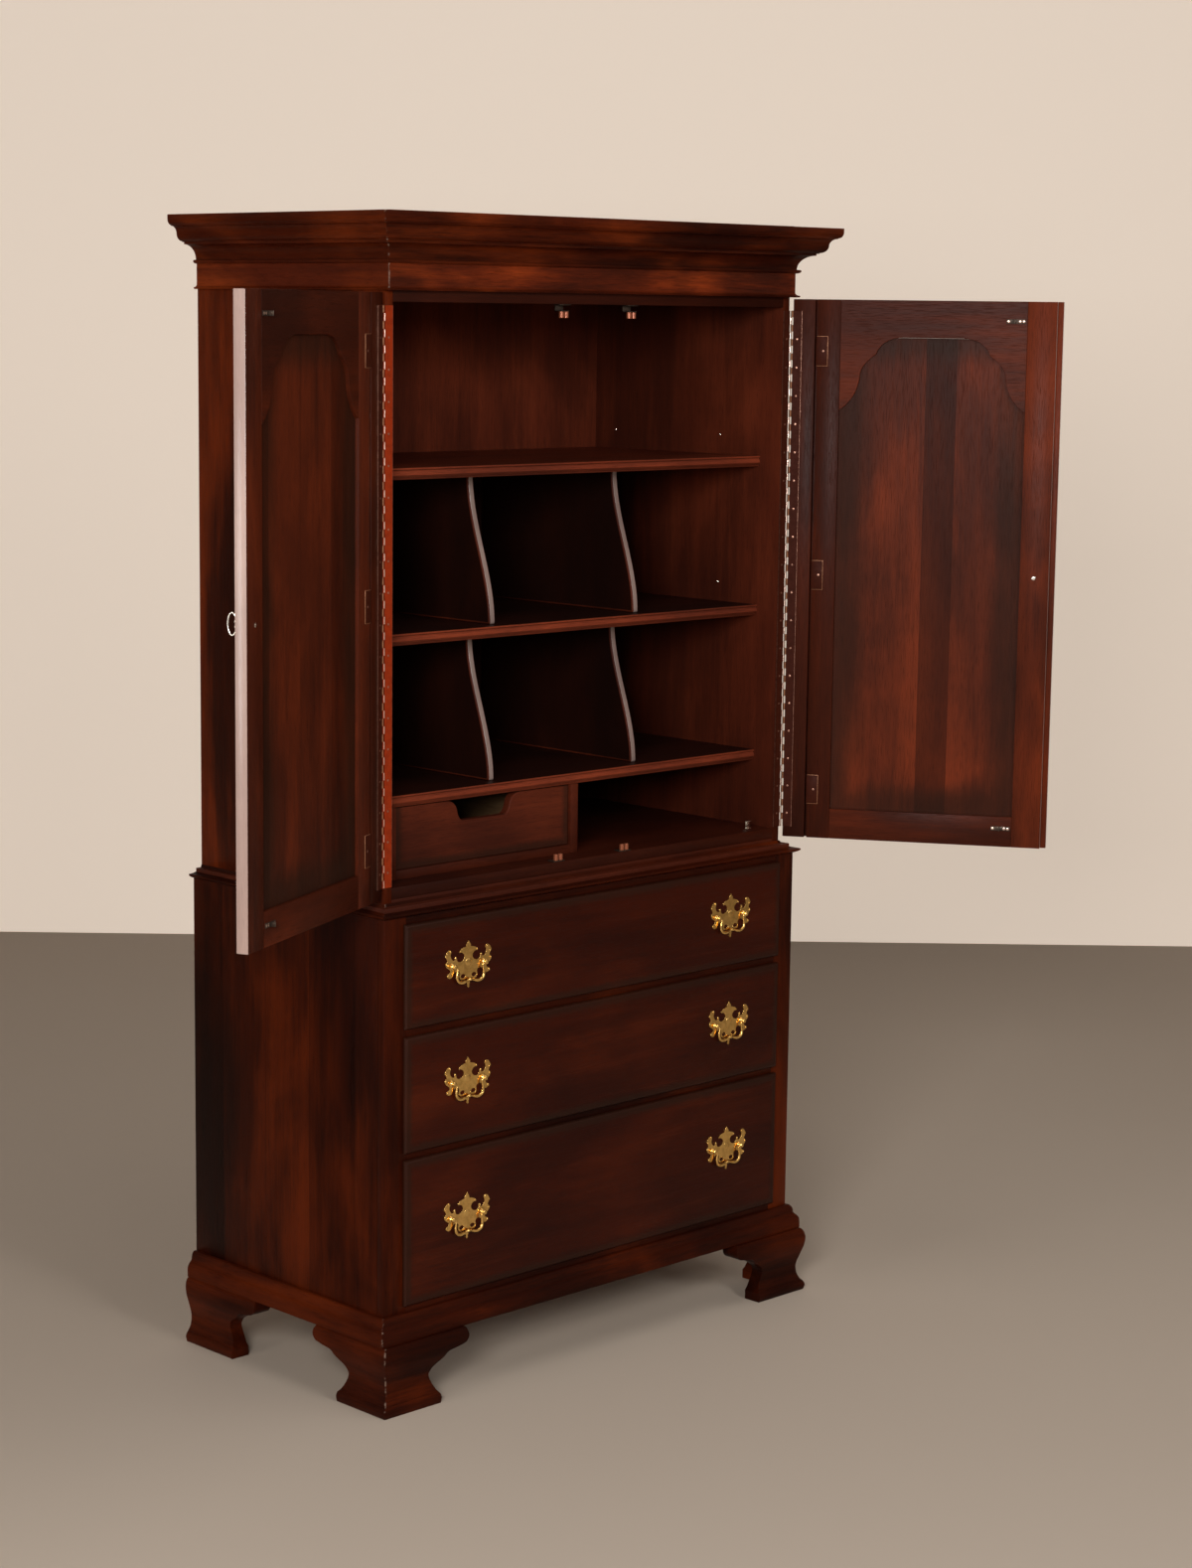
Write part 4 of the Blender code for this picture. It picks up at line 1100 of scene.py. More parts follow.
@dataclass
class UpperCase:
    """Sides, back, bottom, tray bay, shelves and dividers of the cupboard."""

    shelf_tops: tuple[float, ...] = (1.5587, 1.2878, 1.02)
    shelf_front: float = .0709
    rear: float = .4967
    side_in: float = .4615
    pin_places: Point = (.172, .444)
    pin_rise: float = .035
    pin_line: tuple[Point, ...] = ((0, .0019), (.0004, .0019), (.0008, .0014), (.0009, .0004))
    divider_x: float = .172
    divider_half: float = .007
    divider_steps: int = 24
    sweep: Point = (.0971, .0575)
    divider_levels: tuple[Point, ...] = ((1.0203, 1.2685), (1.2881, 1.5394))
    bottom_z: Point = (.86, .879)
    bay_floor: float = .8792
    bay_top: float = 1.0007
    bay_front: float = .0701
    bay_split: float = .0088
    filler_end: float = -.4095
    tray_run: Point = (-.4093, -.009)
    runner_ends: Point = (-.389, -.029)
    runner_top: float = .8947
    runner_front: float = .0903
    rail_back: float = .0901
    rail_top: float = .8598
    back_rail: float = .4777
    # The bent metal tab's place across, then depth, height and edge of its foot, upright and lip
    tab_x: Point = (.417, .429)
    tab: tuple[tuple, ...] = (
        ((.044, .053), (.8791, .8799), .0002), ((.048, .0488), (.8795, .8935), .0003),
        ((.044, .0486), (.8927, .8935), .0002))

    def shelf_line(self, top: float) -> list[Point]:
        """Section of a shelf: a fine bead over a broad rounded band.

        Args:
            top: the height of its top.
        Returns:
            The points, as depth and height.
        """
        f = self.shelf_front
        line = [(self.rear, top), (f + .0016, top), *bend((f + .0016, top), (f, top - .0016), True, 4)]
        line += bend(line[-1], (f + .0016, top - .0032), False, 4)
        line += [(f + .003, top - .0036), (f + .003, top - .0044)]
        line += bow(line[-1], (f - .0016, top - .01), (f + .0018, top - .016), 9)
        return [*line, (f + .003, top - .0166), (f + .003, top - .019), (self.rear, top - .019)]

    def build(self, shop: Workshop) -> None:
        """Builds the cupboard without its doors.

        Args:
            shop: the workshop.
        """
        for side, word in SIDE_NAME.items():
            panel = board(f"upper_side_board_{word}", (side * self.side_in, side * UPPER_HALF),
                          (UPPER_FRONT, CASE_BACK), UPPER_Z, .0004)
            outside = shop.wood(MAHOGANY, UPRIGHT, planks=.171, across=DEEP, tone=1.6)
            clad(panel, (outside, shop.wood(INSIDE, UPRIGHT)), lambda face: face.normal.x * side < -.9)
            shop.hang(panel, stands_for=(f"upper_side_{word}",))
            pins = [turned("pin", (side * (UPPER_IN - .0001), y, top + self.pin_rise), (-side, 0, 0),
                           self.pin_line, 12) for top in self.shelf_tops[:2] for y in self.pin_places]
            shop.hang(joined(f"shelf_pins_{word}", *pins), shop.metal(KEY_METAL))
        back = board("upper_back_boards", (-UPPER_IN, UPPER_IN), BACK_Y, UPPER_Z, .0012)
        # The back's inner face is made lighter as painted light, and nearly black in the lower bays as
        # painted shade
        shade_bays = (UPPER_Z[0], self.shelf_tops[0] - .01)
        clad(back, (shop.wood(INSIDE, UPRIGHT, tone=1.45, shade_heights=shade_bays),
                    shop.wood(BACKBOARD, UPRIGHT, planks=UPPER_IN / 3)), lambda face: face.center.y > .5)
        shop.hang(back, stands_for=("upper_back",))
        self.bottom(shop)
        self.shelves(shop)
        self.dividers(shop)

    def bottom(self, shop: Workshop) -> None:
        """Builds the cupboard's bottom with the bay that the tray slides in.

        Args:
            shop: the workshop.
        """
        inside = shop.wood(INSIDE, ACROSS, tone=.8)
        deep = shop.wood(INSIDE, DEEP, tone=.9)
        across, under = (-UPPER_IN, UPPER_IN), (UPPER_Z[0], self.rail_top)
        plank = board("cupboard_bottom", across, (UPPER_FRONT, self.rear), self.bottom_z, .001)
        # Painted shade: the bottom board is made much darker
        shop.hang(plank, shop.wood(INSIDE, ACROSS, tone=.45),
                  stands_for=("upper_bottom",))
        bay, low = (self.bay_front, self.rear), (self.bay_floor, self.runner_top)
        full, rear = (self.bay_floor, self.bay_top), (self.runner_front, self.rear)
        left, right = self.tray_run
        parts = (("bottom_front_rail", across, RAIL_Y, under, inside),
                 ("bottom_back_rail", across, (self.back_rail, self.rear), under, inside),
                 ("tray_division", (-self.bay_split, self.bay_split), bay, full, deep),
                 ("tray_filler", (-UPPER_IN, self.filler_end), bay, full, deep),
                 ("tray_rail", self.tray_run, (self.bay_front, self.rail_back), low, inside),
                 ("tray_runner_left", (left, self.runner_ends[0]), rear, low, deep),
                 ("tray_runner_right", (self.runner_ends[1], right), rear, low, deep))
        shop.hang_boards(parts, "case", .001)
        tab = [board("bent_tab", self.tab_x, y, z, edge) for y, z, edge in self.tab]
        shop.hang(joined("bent_tab", *tab), shop.metal(KEY_METAL))

    def shelves(self, shop: Workshop) -> None:
        """Builds the three shelves, whose beads get a paler painted highlight; the flats of the lower two get
        painted shade.

        Args:
            shop: the workshop.
        """
        for number, top in enumerate(self.shelf_tops, 1):
            def light_and_shade_finish(face: bpy.types.MeshPolygon) -> int:
                """Finish of a shelf's face: 2 on its beads, with a painted highlight, 1 on its flats, with
                painted shade on the lower two shelves, 0 elsewhere.

                Args:
                    face: the face.
                Returns:
                    The finish's number.
                """
                drop = top - face.center.z
                if face.center.y < self.shelf_front + .003 and (drop < .0034 or .005 < drop < .0118):
                    return 2
                return abs(face.normal.z) > .99 and face.area > .1

            shelf = drawn(f"shelf_board_{number}", self.shelf_line(top), ACROSS, -UPPER_IN, UPPER_IN)
            # Painted highlight: the beads get the much lighter tone; painted shade darkens the lower shelves'
            # flats
            clad(shelf, (shop.wood(INSIDE, ACROSS, tone=.95 + .1 * number),
                         shop.wood(INSIDE, ACROSS, shade_heights=BAY_SHADE if number > 1 else None),
                         shop.wood(INSIDE, ACROSS, tone=2.3)), light_and_shade_finish)
            shop.hang(shelf, stands_for=(f"shelf_{number}",))

    def dividers(self, shop: Workshop) -> None:
        """Builds the four upright dividers, whose fronts sweep back as they rise.

        Args:
            shop: the workshop.
        """
        def light_and_shade_finish(face: bpy.types.MeshPolygon) -> int:
            """Finish of a divider's face: 2 on its front edge, with a painted highlight, 1 on its sides, with
            painted shade, 0 elsewhere.

            Args:
                face: the face.
            Returns:
                The finish's number.
            """
            if face.normal.y < -.3 and abs(face.normal.x) < .3:
                return 2
            return abs(face.normal.x) > .99

        # Painted highlight on the front edges, painted shade on the sides between the bay heights
        finishes = (shop.wood(INSIDE, UPRIGHT), shop.wood(INSIDE, UPRIGHT, shade_heights=BAY_SHADE),
                    shop.wood(EDGE_GLINT, UPRIGHT, tone=.55))
        for level, (low, high) in zip(("lower", "upper"), self.divider_levels):
            line = []
            for step in range(self.divider_steps + 1):
                t = step / self.divider_steps
                line.append((self.sweep[0] + self.sweep[1] * t * t * (3 - 2 * t), low + (high - low) * t))
            line += [(self.rear, high), (self.rear, low)]
            for side, word in SIDE_NAME.items():
                left, right = (side * self.divider_x + way * self.divider_half for way in (-1, 1))
                piece = eased(drawn(f"divider_board_{level}_{word}", line, ACROSS, left, right), .0036, 4)
                clad(skinned(piece), finishes, light_and_shade_finish)
                shop.hang(piece, stands_for=(f"divider_{level}_{word}",))


@dataclass
class Tray:
    """Small drawer in the cupboard, with a finger notch in its front."""

    x: Point = (-.4085, -.0115)
    z: Point = (.895, .9992)
    front: Point = (.0741, .0901)
    side_top: float = .9872
    side_thick: float = .01
    inner_y: Point = (.0903, .46)
    back_y: Point = (.45, .4598)
    # Half of the notch: corner, then control and end of each of its two bows, down from the front's top
    notch: tuple[Point, ...] = ((.083, 0.0), (.064, -.001), (.06, -.018), (.056, -.036), (.045, -.036))

    def build(self, shop: Workshop) -> None:
        """Builds the tray.

        Args:
            shop: the workshop.
        """
        middle, (low, top) = sum(self.x) / 2, self.z
        half = [self.notch[0], *bow(*self.notch[:3]), *bow(*self.notch[2:])]
        notch = [(middle - x, top + z) for x, z in half] + [(middle + x, top + z) for x, z in reversed(half)]
        line = [(self.x[0], top), *notch, (self.x[1], top), (self.x[1], low), (self.x[0], low)]
        front = skinned(eased(drawn("tray_front", line, DEEP, *self.front), .0016, 3))
        shop.hang(front, shop.wood(INSIDE, ACROSS, rim=(*self.x, low, top + .1)), "tray",
                  stands_for=("tray_drawer",))
        lining, cross = shop.wood(DRAWER_LINING, DEEP), shop.wood(DRAWER_LINING, ACROSS)
        left, right, high = self.x[0] + .002, self.x[1] - .002, self.side_top
        inner = (left + self.side_thick + .0002, right - self.side_thick - .0002)
        deep = self.inner_y
        shop.hang_boards((("tray_side_left", (left, left + self.side_thick), deep, (low, high), lining),
                          ("tray_side_right", (right - self.side_thick, right), deep, (low, high), lining),
                          ("tray_back", inner, self.back_y, (low + .008, high - .004), cross),
                          ("tray_floor", inner, deep, (low + .0008, low + .0078), lining)),
                         "tray", .0012, 3)


# Drawers and their pulls


@dataclass
class Pull:
    """Fretted backplate with two posts, and the swan-neck bail that swings from them."""

    half: tuple[Point, ...] = (
        (0, .041), (.0022, .0376), (.0047, .0346), (.0054, .0326), (.005, .0306), (.008, .03),
        (.0115, .029), (.0162, .0276), (.0196, .0246), (.0201, .0214), (.017, .0219), (.013, .0206),
        (.01, .0176), (.0089, .0146), (.0098, .0106), (.0133, .0074), (.0183, .0058), (.023, .0066),
        (.0254, .0092), (.026, .0124), (.0264, .0152), (.0279, .0164), (.0299, .0158), (.0307, .0138),
        (.0298, .0112), (.0325, .0098), (.0356, .0112), (.0385, .0148), (.04, .0188), (.0394, .0222),
        (.0379, .0246), (.0385, .0276), (.0414, .0292), (.045, .0286), (.0482, .0258), (.0505, .0222),
        (.0522, .0186), (.0495, .016), (.0479, .013), (.0472, .01), (.0496, .009), (.0514, .0064),
        (.051, .003), (.0482, -.0004), (.045, -.0026), (.0412, -.0048), (.0402, -.008), (.0424, -.0104),
        (.0456, -.0116), (.0482, -.0134), (.0477, -.0161), (.0448, -.0181), (.0408, -.0195), (.037, -.018),
        (.0342, -.0146), (.0316, -.0112), (.0281, -.0088), (.0244, -.0084), (.0206, -.0097), (.019, -.013),
        (.0198, -.0166), (.0202, -.0204), (.018, -.0238), (.0135, -.0258), (.0092, -.0248), (.0058, -.0226),
        (.0036, -.024), (.0029, -.029), (.0032, -.0322), (.0019, -.035), (.0026, -.0375), (0, -.04))
    # Small beads on its face: x, z and radius
    knobs: tuple[tuple[float, float, float], ...] = (
        (.0192, .0236, .0015), (.0284, .014, .002), (.0408, .0262, .0022), (.0496, .0052, .002),
        (.0462, -.0146, .0021), (.0062, -.0205, .0013), (.0484, .0172, .0014))
    # Pierced eyes: x, z, half width and half height
    eye: tuple[float, ...] = (.0122, -.0186, .005, .0036)
    bail: tuple[Point, ...] = (
        (.0282, -.0035), (.029, -.01), (.03, -.017), (.0288, -.023), (.024, -.0272),
        (.017, -.0285), (.0085, -.027))
    # Radii of the bail up to its middle, where it is beaded
    grip: tuple[float, ...] = (.0029, .0027, .0024, .002, .0016, .0025, .003)
    face: float = -.0083
    thick: float = .0015
    post_x: float = .035
    post_long: float = .0102
    post: tuple[Point, ...] = (
        (0, .0058), (.0007, .0062), (.0014, .0058), (.0018, .0044), (.0032, .0034), (.0048, .0036),
        (.0058, .0042), (.008, .0042), (.0096, .0033), (.0104, .0018), (.0105, .0006))
    hang_depth: float = .0068

    def plate(self) -> Piece:
        """Builds the backplate and its posts about the origin.

        Returns:
            The plate with its posts.
        """
        outline = [*self.half, *[(-x, z) for x, z in reversed(self.half[1:-1])]]
        front = self.face - GAP - self.thick
        plate = drawn("pull_plate", outline, DEEP, self.face - GAP, front)
        x, z, wide, tall = self.eye
        turns = [math.tau * k / 16 for k in range(16)]
        eyes = [drawn("eye", [(side * x + wide * math.cos(a), z + tall * math.sin(a)) for a in turns],
                      DEEP, self.face, front - .001) for side in (-1, 1)]
        eased(pierced(plate, *eyes), .0005, 2)
        ahead = (0, -1, 0)
        drops = [turned("knob", (side * x, front + .0002, z), ahead,
                        [(0, r), (r * .35, r * .92), (r * .6, r * .6), (r * .7, r * .2)], 12)
                 for side in (-1, 1) for x, z, r in self.knobs]
        rays = [math.pi / 2 * k / 6 for k in range(7)]
        crest = turned("crest", (0, front + .0003, .004), ahead,
                       [(.0012 * math.sin(a), .001 + .0062 * math.cos(a)) for a in rays], 20)
        stretch = (self.post_long - self.thick) / self.post[-1][0]
        post = [(far * stretch, r) for far, r in self.post]
        posts = [turned("post", (side * self.post_x, front, 0), ahead, post, 18) for side in (-1, 1)]
        return joined("pull_plate", plate, crest, *drops, *posts)

    def handle(self) -> Piece:
        """Builds the bail about the origin, its pins in the posts.

        Returns:
            The bail.
        """
        half = [(.0358, 0), (.0318, 0), (.03, -.0006), *smooth(self.bail, 4)]
        path = [*half, (.0045, -.0257), (.002, -.025), (0, -.025)]
        widths = []
        for x, z in path:
            arm = .0014 + .0015 * max(0.0, min(1.0, (-z - .004) / .018))
            widths.append(.0012 if z == 0 and x else arm)
        widths[-len(self.grip):] = self.grip
        full = [(x, self.face - self.hang_depth, z) for x, z in path]
        full += [(-x, y, z) for x, y, z in reversed(full[:-1])]
        return wired("pull_bail", full, [*widths, *reversed(widths[:-1])])


@dataclass
class Drawers:
    """Three lipped long drawers with brass pulls."""

    lips: tuple[Point, ...] = ((.6448, .8207), (.435, .6321), (.1736, .4235))
    rests: tuple[float, ...] = (.6485, .4393, .1775)
    pull_heights: tuple[float, ...] = (.7378, .5389, .3052)
    pull_x: float = .3192
    lip_half: float = .4545
    half: float = .4468
    side_thick: float = .012
    proud: float = .0083
    round: float = .006
    square: float = .0028
    headroom: float = .016
    side_y: Point = (.0202, .47)
    floor_y: Point = (.0202, .4698)
    back_y: Point = (.458, .4698)
    # How far the back starts above the sides' foot and ends below their top
    back_z: Point = (.01, .006)
    # The floor's two faces above the sides' foot
    floor_z: Point = (.002, .0098)

    def front(self, name: str, low: float, high: float, rest: float) -> Piece:
        """Builds a drawer front with the thumb moulding round its lip.

        Args:
            name: its name.
            low: bottom of the lip.
            high: top of the lip.
            rest: height of the rails that the drawer runs on.
        Returns:
            The front.
        """
        stations = [(.0004, -GAP), (0, -GAP - .0004), (0, -self.square)]
        for step in range(1, 8):
            angle = math.pi / 2 * step / 7
            stations.append((self.round * (1 - math.cos(angle)),
                             -self.square - (self.proud - self.square) * math.sin(angle)))
        rings = []
        for inset, y in stations:
            x, bottom, top = self.lip_half - inset, low + inset, high - inset
            rings.append([(-x, y, bottom), (x, y, bottom), (x, y, top), (-x, y, top)])
        face = lofted(name, rings, angle=40)
        tongue = board("tongue", (-self.half, self.half), (-GAP, .02), (rest + GAP, high - .0053), .0005)
        return joined(name, face, tongue)

    def build(self, shop: Workshop) -> None:
        """Builds the drawers, their pulls and their bails.

        Args:
            shop: the workshop.
        """
        pull = Pull()
        plate, bail = pull.plate(), pull.handle()
        brass = shop.metal(BRASS)
        fronts = zip(self.lips, self.rests, self.pull_heights)
        for number, ((low, high), rest, height) in enumerate(fronts, 1):
            body = f"drawer_{number}"
            face = self.front(f"drawer_front_{number}", low, high, rest)
            rim = (-self.lip_half, self.lip_half, low, high)
            shop.hang(face, shop.wood(DRAWER_RED, ACROSS, rim=rim), body, stands_for=(body,))
            floor, top = rest + GAP, high - self.headroom
            deep, cross = shop.wood(DRAWER_LINING, DEEP), shop.wood(DRAWER_LINING, ACROSS)
            near = self.half - self.side_thick
            cheeks = [(f"drawer_side_{number}_{word}", (side * near, side * self.half), self.side_y,
                       (floor, top), deep) for side, word in SIDE_NAME.items()]
            shop.hang_boards(cheeks, body, .0022, 3)
            across = (.0002 - near, near - .0002)
            start, end = self.back_z
            back = (f"drawer_back_{number}", across, self.back_y, (floor + start, top - end), cross)
            shop.hang_boards((back,), body, .0016, 3)
            start, end = self.floor_z
            base = (f"drawer_floor_{number}", across, self.floor_y, (floor + start, floor + end), cross)
            shop.hang_boards((base,), body, .0008)
            for side in (-1, 1):
                spot = (side * self.pull_x, 0, height)
                word = f"{number}_{SIDE_NAME[side]}"
                shop.hang(copied(plate, f"pull_backplate_{word}", spot), brass, body,
                          stands_for=(f"pull_plate_{word}",))
                shop.hang(copied(bail, f"pull_handle_{word}", spot), brass, f"bail_{word}",
                          stands_for=(f"pull_bail_{word}",))
        bpy.data.objects.remove(plate)
        bpy.data.objects.remove(bail)


# Doors


def along(side: int, distance: float) -> float:
    """Place across the closed front of a point this far from a door's hinge axis."""
    return side * (AXIS_X - distance)


def door_board(side: int, name: str, span: Point, y: Point, z: Point, edge: float = .0007) -> Piece:
    """Board of a closed door, whose span is given as distances from the hinge axis."""
    return board(name, (along(side, span[0]), along(side, span[1])), y, z, edge)


def screw(name: str, spot: Sequence[float], aim: Sequence[float], radius: float = .0024) -> Piece:
    """Countersunk screw head, slightly domed, with its middle at the spot and facing the aim."""
    dome = [(-.0004, radius * .8), (.0001, radius), (.0003, radius * .72), (.0004, radius * .2)]
    return turned(name, spot, aim, dome, 10)


@dataclass
class Door:
    """Arched door: two stiles, a bottom rail, an arched top rail and a fielded panel."""

    side: int
    start: float = .0478
    end: float = .4752
    hinge_margin: float = .042
    free_margin: float = .052
    bottom_margin: float = .055
    drop: float = .197
    # The arch's three bows from the shoulder up: control, end and number of points
    sweeps: tuple[tuple, ...] = (
        ((.033, .022), (.0366, .0644), 9), ((.038, .082), (.0646, .1004), 7),
        ((.074, .128), (.1112, .1307), 9))
    stile: Point = (.0035, .0433)
    stop_end: float = .0468
    stop_face: float = .0062
    # Width and thickness of the lip that laps the other door
    lap: Point = (.01, .00975)
    key: Point = (.4482, 1.352)
    # The darker board of the right door's panel, the left panel's board width, and the panel's rubbed rim
    core: Point = (.245, .3)
    plank_wide: float = .108
    rim_drop: float = .06
    rim_wide: float = .07
    # The panel's section from its back to its field: how far inside the opening, and how deep
    fielding: tuple[Point, ...] = (
        (GAP, .006), (GAP, .012), (.004, .0122), (.029, .016), (.0296, .0153), (.0304, .0153), (.031, .0165))
    strike: float = .4015
    strike_heights: Point = (1.806, .8955)

    def arch(self, inset: float = 0.0) -> list[Point]:
        """Arched outline of the panel opening.

        Args:
            inset: how far inside the opening it lies.
        Returns:
            Pairs of distance from the hinge axis and height.
        """
        low, high = self.start + self.hinge_margin + inset, self.end - self.free_margin - inset
        shoulder = DOOR_TOP - self.drop - inset
        squeeze = (high - low) / (self.end - self.free_margin - self.start - self.hinge_margin)
        rise = [(0.0, 0.0)]
        for control, end, steps in self.sweeps:
            rise += bow(rise[-1], control, end, steps)
        rise = [(x * squeeze, z) for x, z in rise]
        foot = DOOR_BOTTOM + self.bottom_margin + inset
        return [(high, foot), (low, foot), *[(low + x, shoulder + z) for x, z in rise],
                *[(high - x, shoulder + z) for x, z in reversed(rise)]]

    def build(self, shop: Workshop) -> None:
        """Builds the door, its stile and all that they carry.

        Args:
            shop: the workshop.
        """
        side, word = self.side, SIDE_NAME[self.side]
        body = f"{word}_door"
        faces, tall = (OUTER_FACE, INNER_FACE), (DOOR_BOTTOM, DOOR_TOP)
        plank = partial(door_board, side)
        inside = partial(shop.wood, DOOR_INSIDE, side=side)
        # Painted light and shade: the left door's inside is made darker than the right one's, as the
        # photograph shows it
        painted_light_share = .85 if side < 0 else 1.15
        narrow = plank(f"hinge_stile_board_{word}", self.stile, faces, tall)
        stop = plank("stop", (self.stile[1], self.stop_end), (OUTER_FACE, self.stop_face), tall, .0004)
        shop.hang(joined(narrow.name, narrow, stop), inside(UPRIGHT, tone=.75 * painted_light_share), f"{word}_stile",
                  side=side, stands_for=(f"hinge_stile_{word}",))
        low, high = self.start + self.hinge_margin, self.end - self.free_margin
        foot = DOOR_BOTTOM + self.bottom_margin
        near = plank(f"door_stile_near_{word}", (self.start, low - .0001), faces, tall)
        shop.hang(near, inside(UPRIGHT, tone=1.15 if side < 0 else .85), body, side=side)
        pieces = [plank(f"door_stile_free_{word}", (high + .0001, self.end), faces, tall)]
        if side > 0:
            wide, thick = self.lap
            pieces.append(plank("lip", (self.end, self.end + wide), (OUTER_FACE, OUTER_FACE + thick), tall))
        free = joined(pieces[0].name, *pieces)
        # The free edges get the pale painted reflection
        clad(free, (inside(UPRIGHT, tone=1.15 * painted_light_share), shop.wood(EDGE_GLINT, UPRIGHT, side)),
             lambda face: face.normal.x * -side > .9)
        shop.hang(free, None, body, side=side, stands_for=(f"door_frame_{word}",))
        rail = plank(f"door_rail_bottom_{word}", (low, high), faces, (DOOR_BOTTOM, foot))
        cross = inside(ACROSS, tone=painted_light_share)
        shop.hang(rail, cross, body, side=side)
        line = [(along(side, d), z) for d, z in [(high, DOOR_TOP), (low, DOOR_TOP), *self.arch()[2:]]]
        head = drawn(f"door_rail_arched_{word}", line, DEEP, *faces)
        shop.hang(skinned(eased(head, .0006, 1)), cross, body, side=side)
        rings = [[(along(side, d), INNER_FACE - depth, z) for d, z in self.arch(inset)]
                 for inset, depth in self.fielding]
        panel = lofted(f"door_panel_board_{word}", rings)
        boards = {"core": self.core} if side > 0 else {"planks": self.plank_wide}
        rim = (*sorted((-side * low, -side * high)), foot, DOOR_TOP - self.rim_drop, self.rim_wide)
        # Painted light: the right door's panel is made lighter than the left one's
        shop.hang(panel, inside(UPRIGHT, tone=1.05 if side < 0 else 1.5, rim=rim, **boards), body, side=side,
                  stands_for=(f"door_panel_{word}",))
        self.key_pull(shop, body, word)
        self.strikes(shop, body, word)

    def key_pull(self, shop: Workshop, body: str, word: str) -> None:
        """Builds the oval pull, its stem and the nut of its bolt.

        Args:
            shop: the workshop.
            body: the door's body.
            word: the side's name.
        """
        x, z = along(self.side, self.key[0]), self.key[1]
        out = OUTER_FACE - GAP
        curl = [(-.0112, .0006), (-.0134, .0018), (-.0145, .0038), (-.0135, .0058), (-.0118, .0074),
                (-.0116, .0094)]
        turns = [math.radians(136 - 8.5 * k) for k in range(33)]
        oval = [(-.019 - .0072 * math.cos(a), .0168 * math.sin(a)) for a in turns]
        path = [*curl, *oval, *[(y, -rise) for y, rise in reversed(curl)]]
        thin = [.0012] * len(curl)
        ring = wired("bow", [(x, y, z + rise) for y, rise in path], [*thin, *[.0014] * len(oval), *thin])
        stem_line = [(0, .0072), (.0006, .0075), (.0014, .0072), (.002, .004), (.0032, .0026), (.006, .0021),
                     (.0084, .0022), (.0098, .0028), (.0108, .0031), (.0118, .0026), (.0126, .0012)]
        stem = turned("stem", (x, out, z), (0, -1, 0), stem_line, 18)
        bolt = turned("bolt", (x, out + .0002, z), (0, 1, 0), [(0, .0018), (.0205, .0018), (.0212, .001)], 12)
        nut = turned("nut", (x, INNER_FACE + GAP, z), (0, 1, 0),
                     [(0, .0036), (.0003, .0038), (.0007, .0038), (.0011, .003)], 6)
        shop.hang(joined(f"key_pull_bow_{word}", ring, stem, bolt, nut), shop.metal(KEY_METAL), body,
                  self.side, (f"key_pull_{word}",))

    def strikes(self, shop: Workshop, body: str, word: str) -> None:
        """Builds the two strikes that the roller catches hold.

        Args:
            shop: the workshop.
            body: the door's body.
            word: the side's name.
        """
        x, face = along(self.side, self.strike), INNER_FACE + .0001
        dark, bright = shop.metal(CATCH_METAL), shop.metal(HINGE_BRASS)
        out = -self.side
        for number, z in enumerate(self.strike_heights, 1):
            plate = board("strike", (x - out * .0155, x + out * .019), (face, face + .001),
                          (z - .0038, z + .0038), .0004)
            prong = board("prong", (x - .0009, x + .0009), (face + .0008, face + .009),
                          (z - .004, z + .004), .0006, 3)
            heads = [dipped(screw("screw", (x + out * step, face + .001, z), (0, 1, 0)), bright)
                     for step in (-.012, .0085, .015)]
            strike = joined(f"strike_{word}_{number}", dipped(plate, dark), dipped(prong, dark), *heads)
            shop.hang(strike, None, body, self.side)


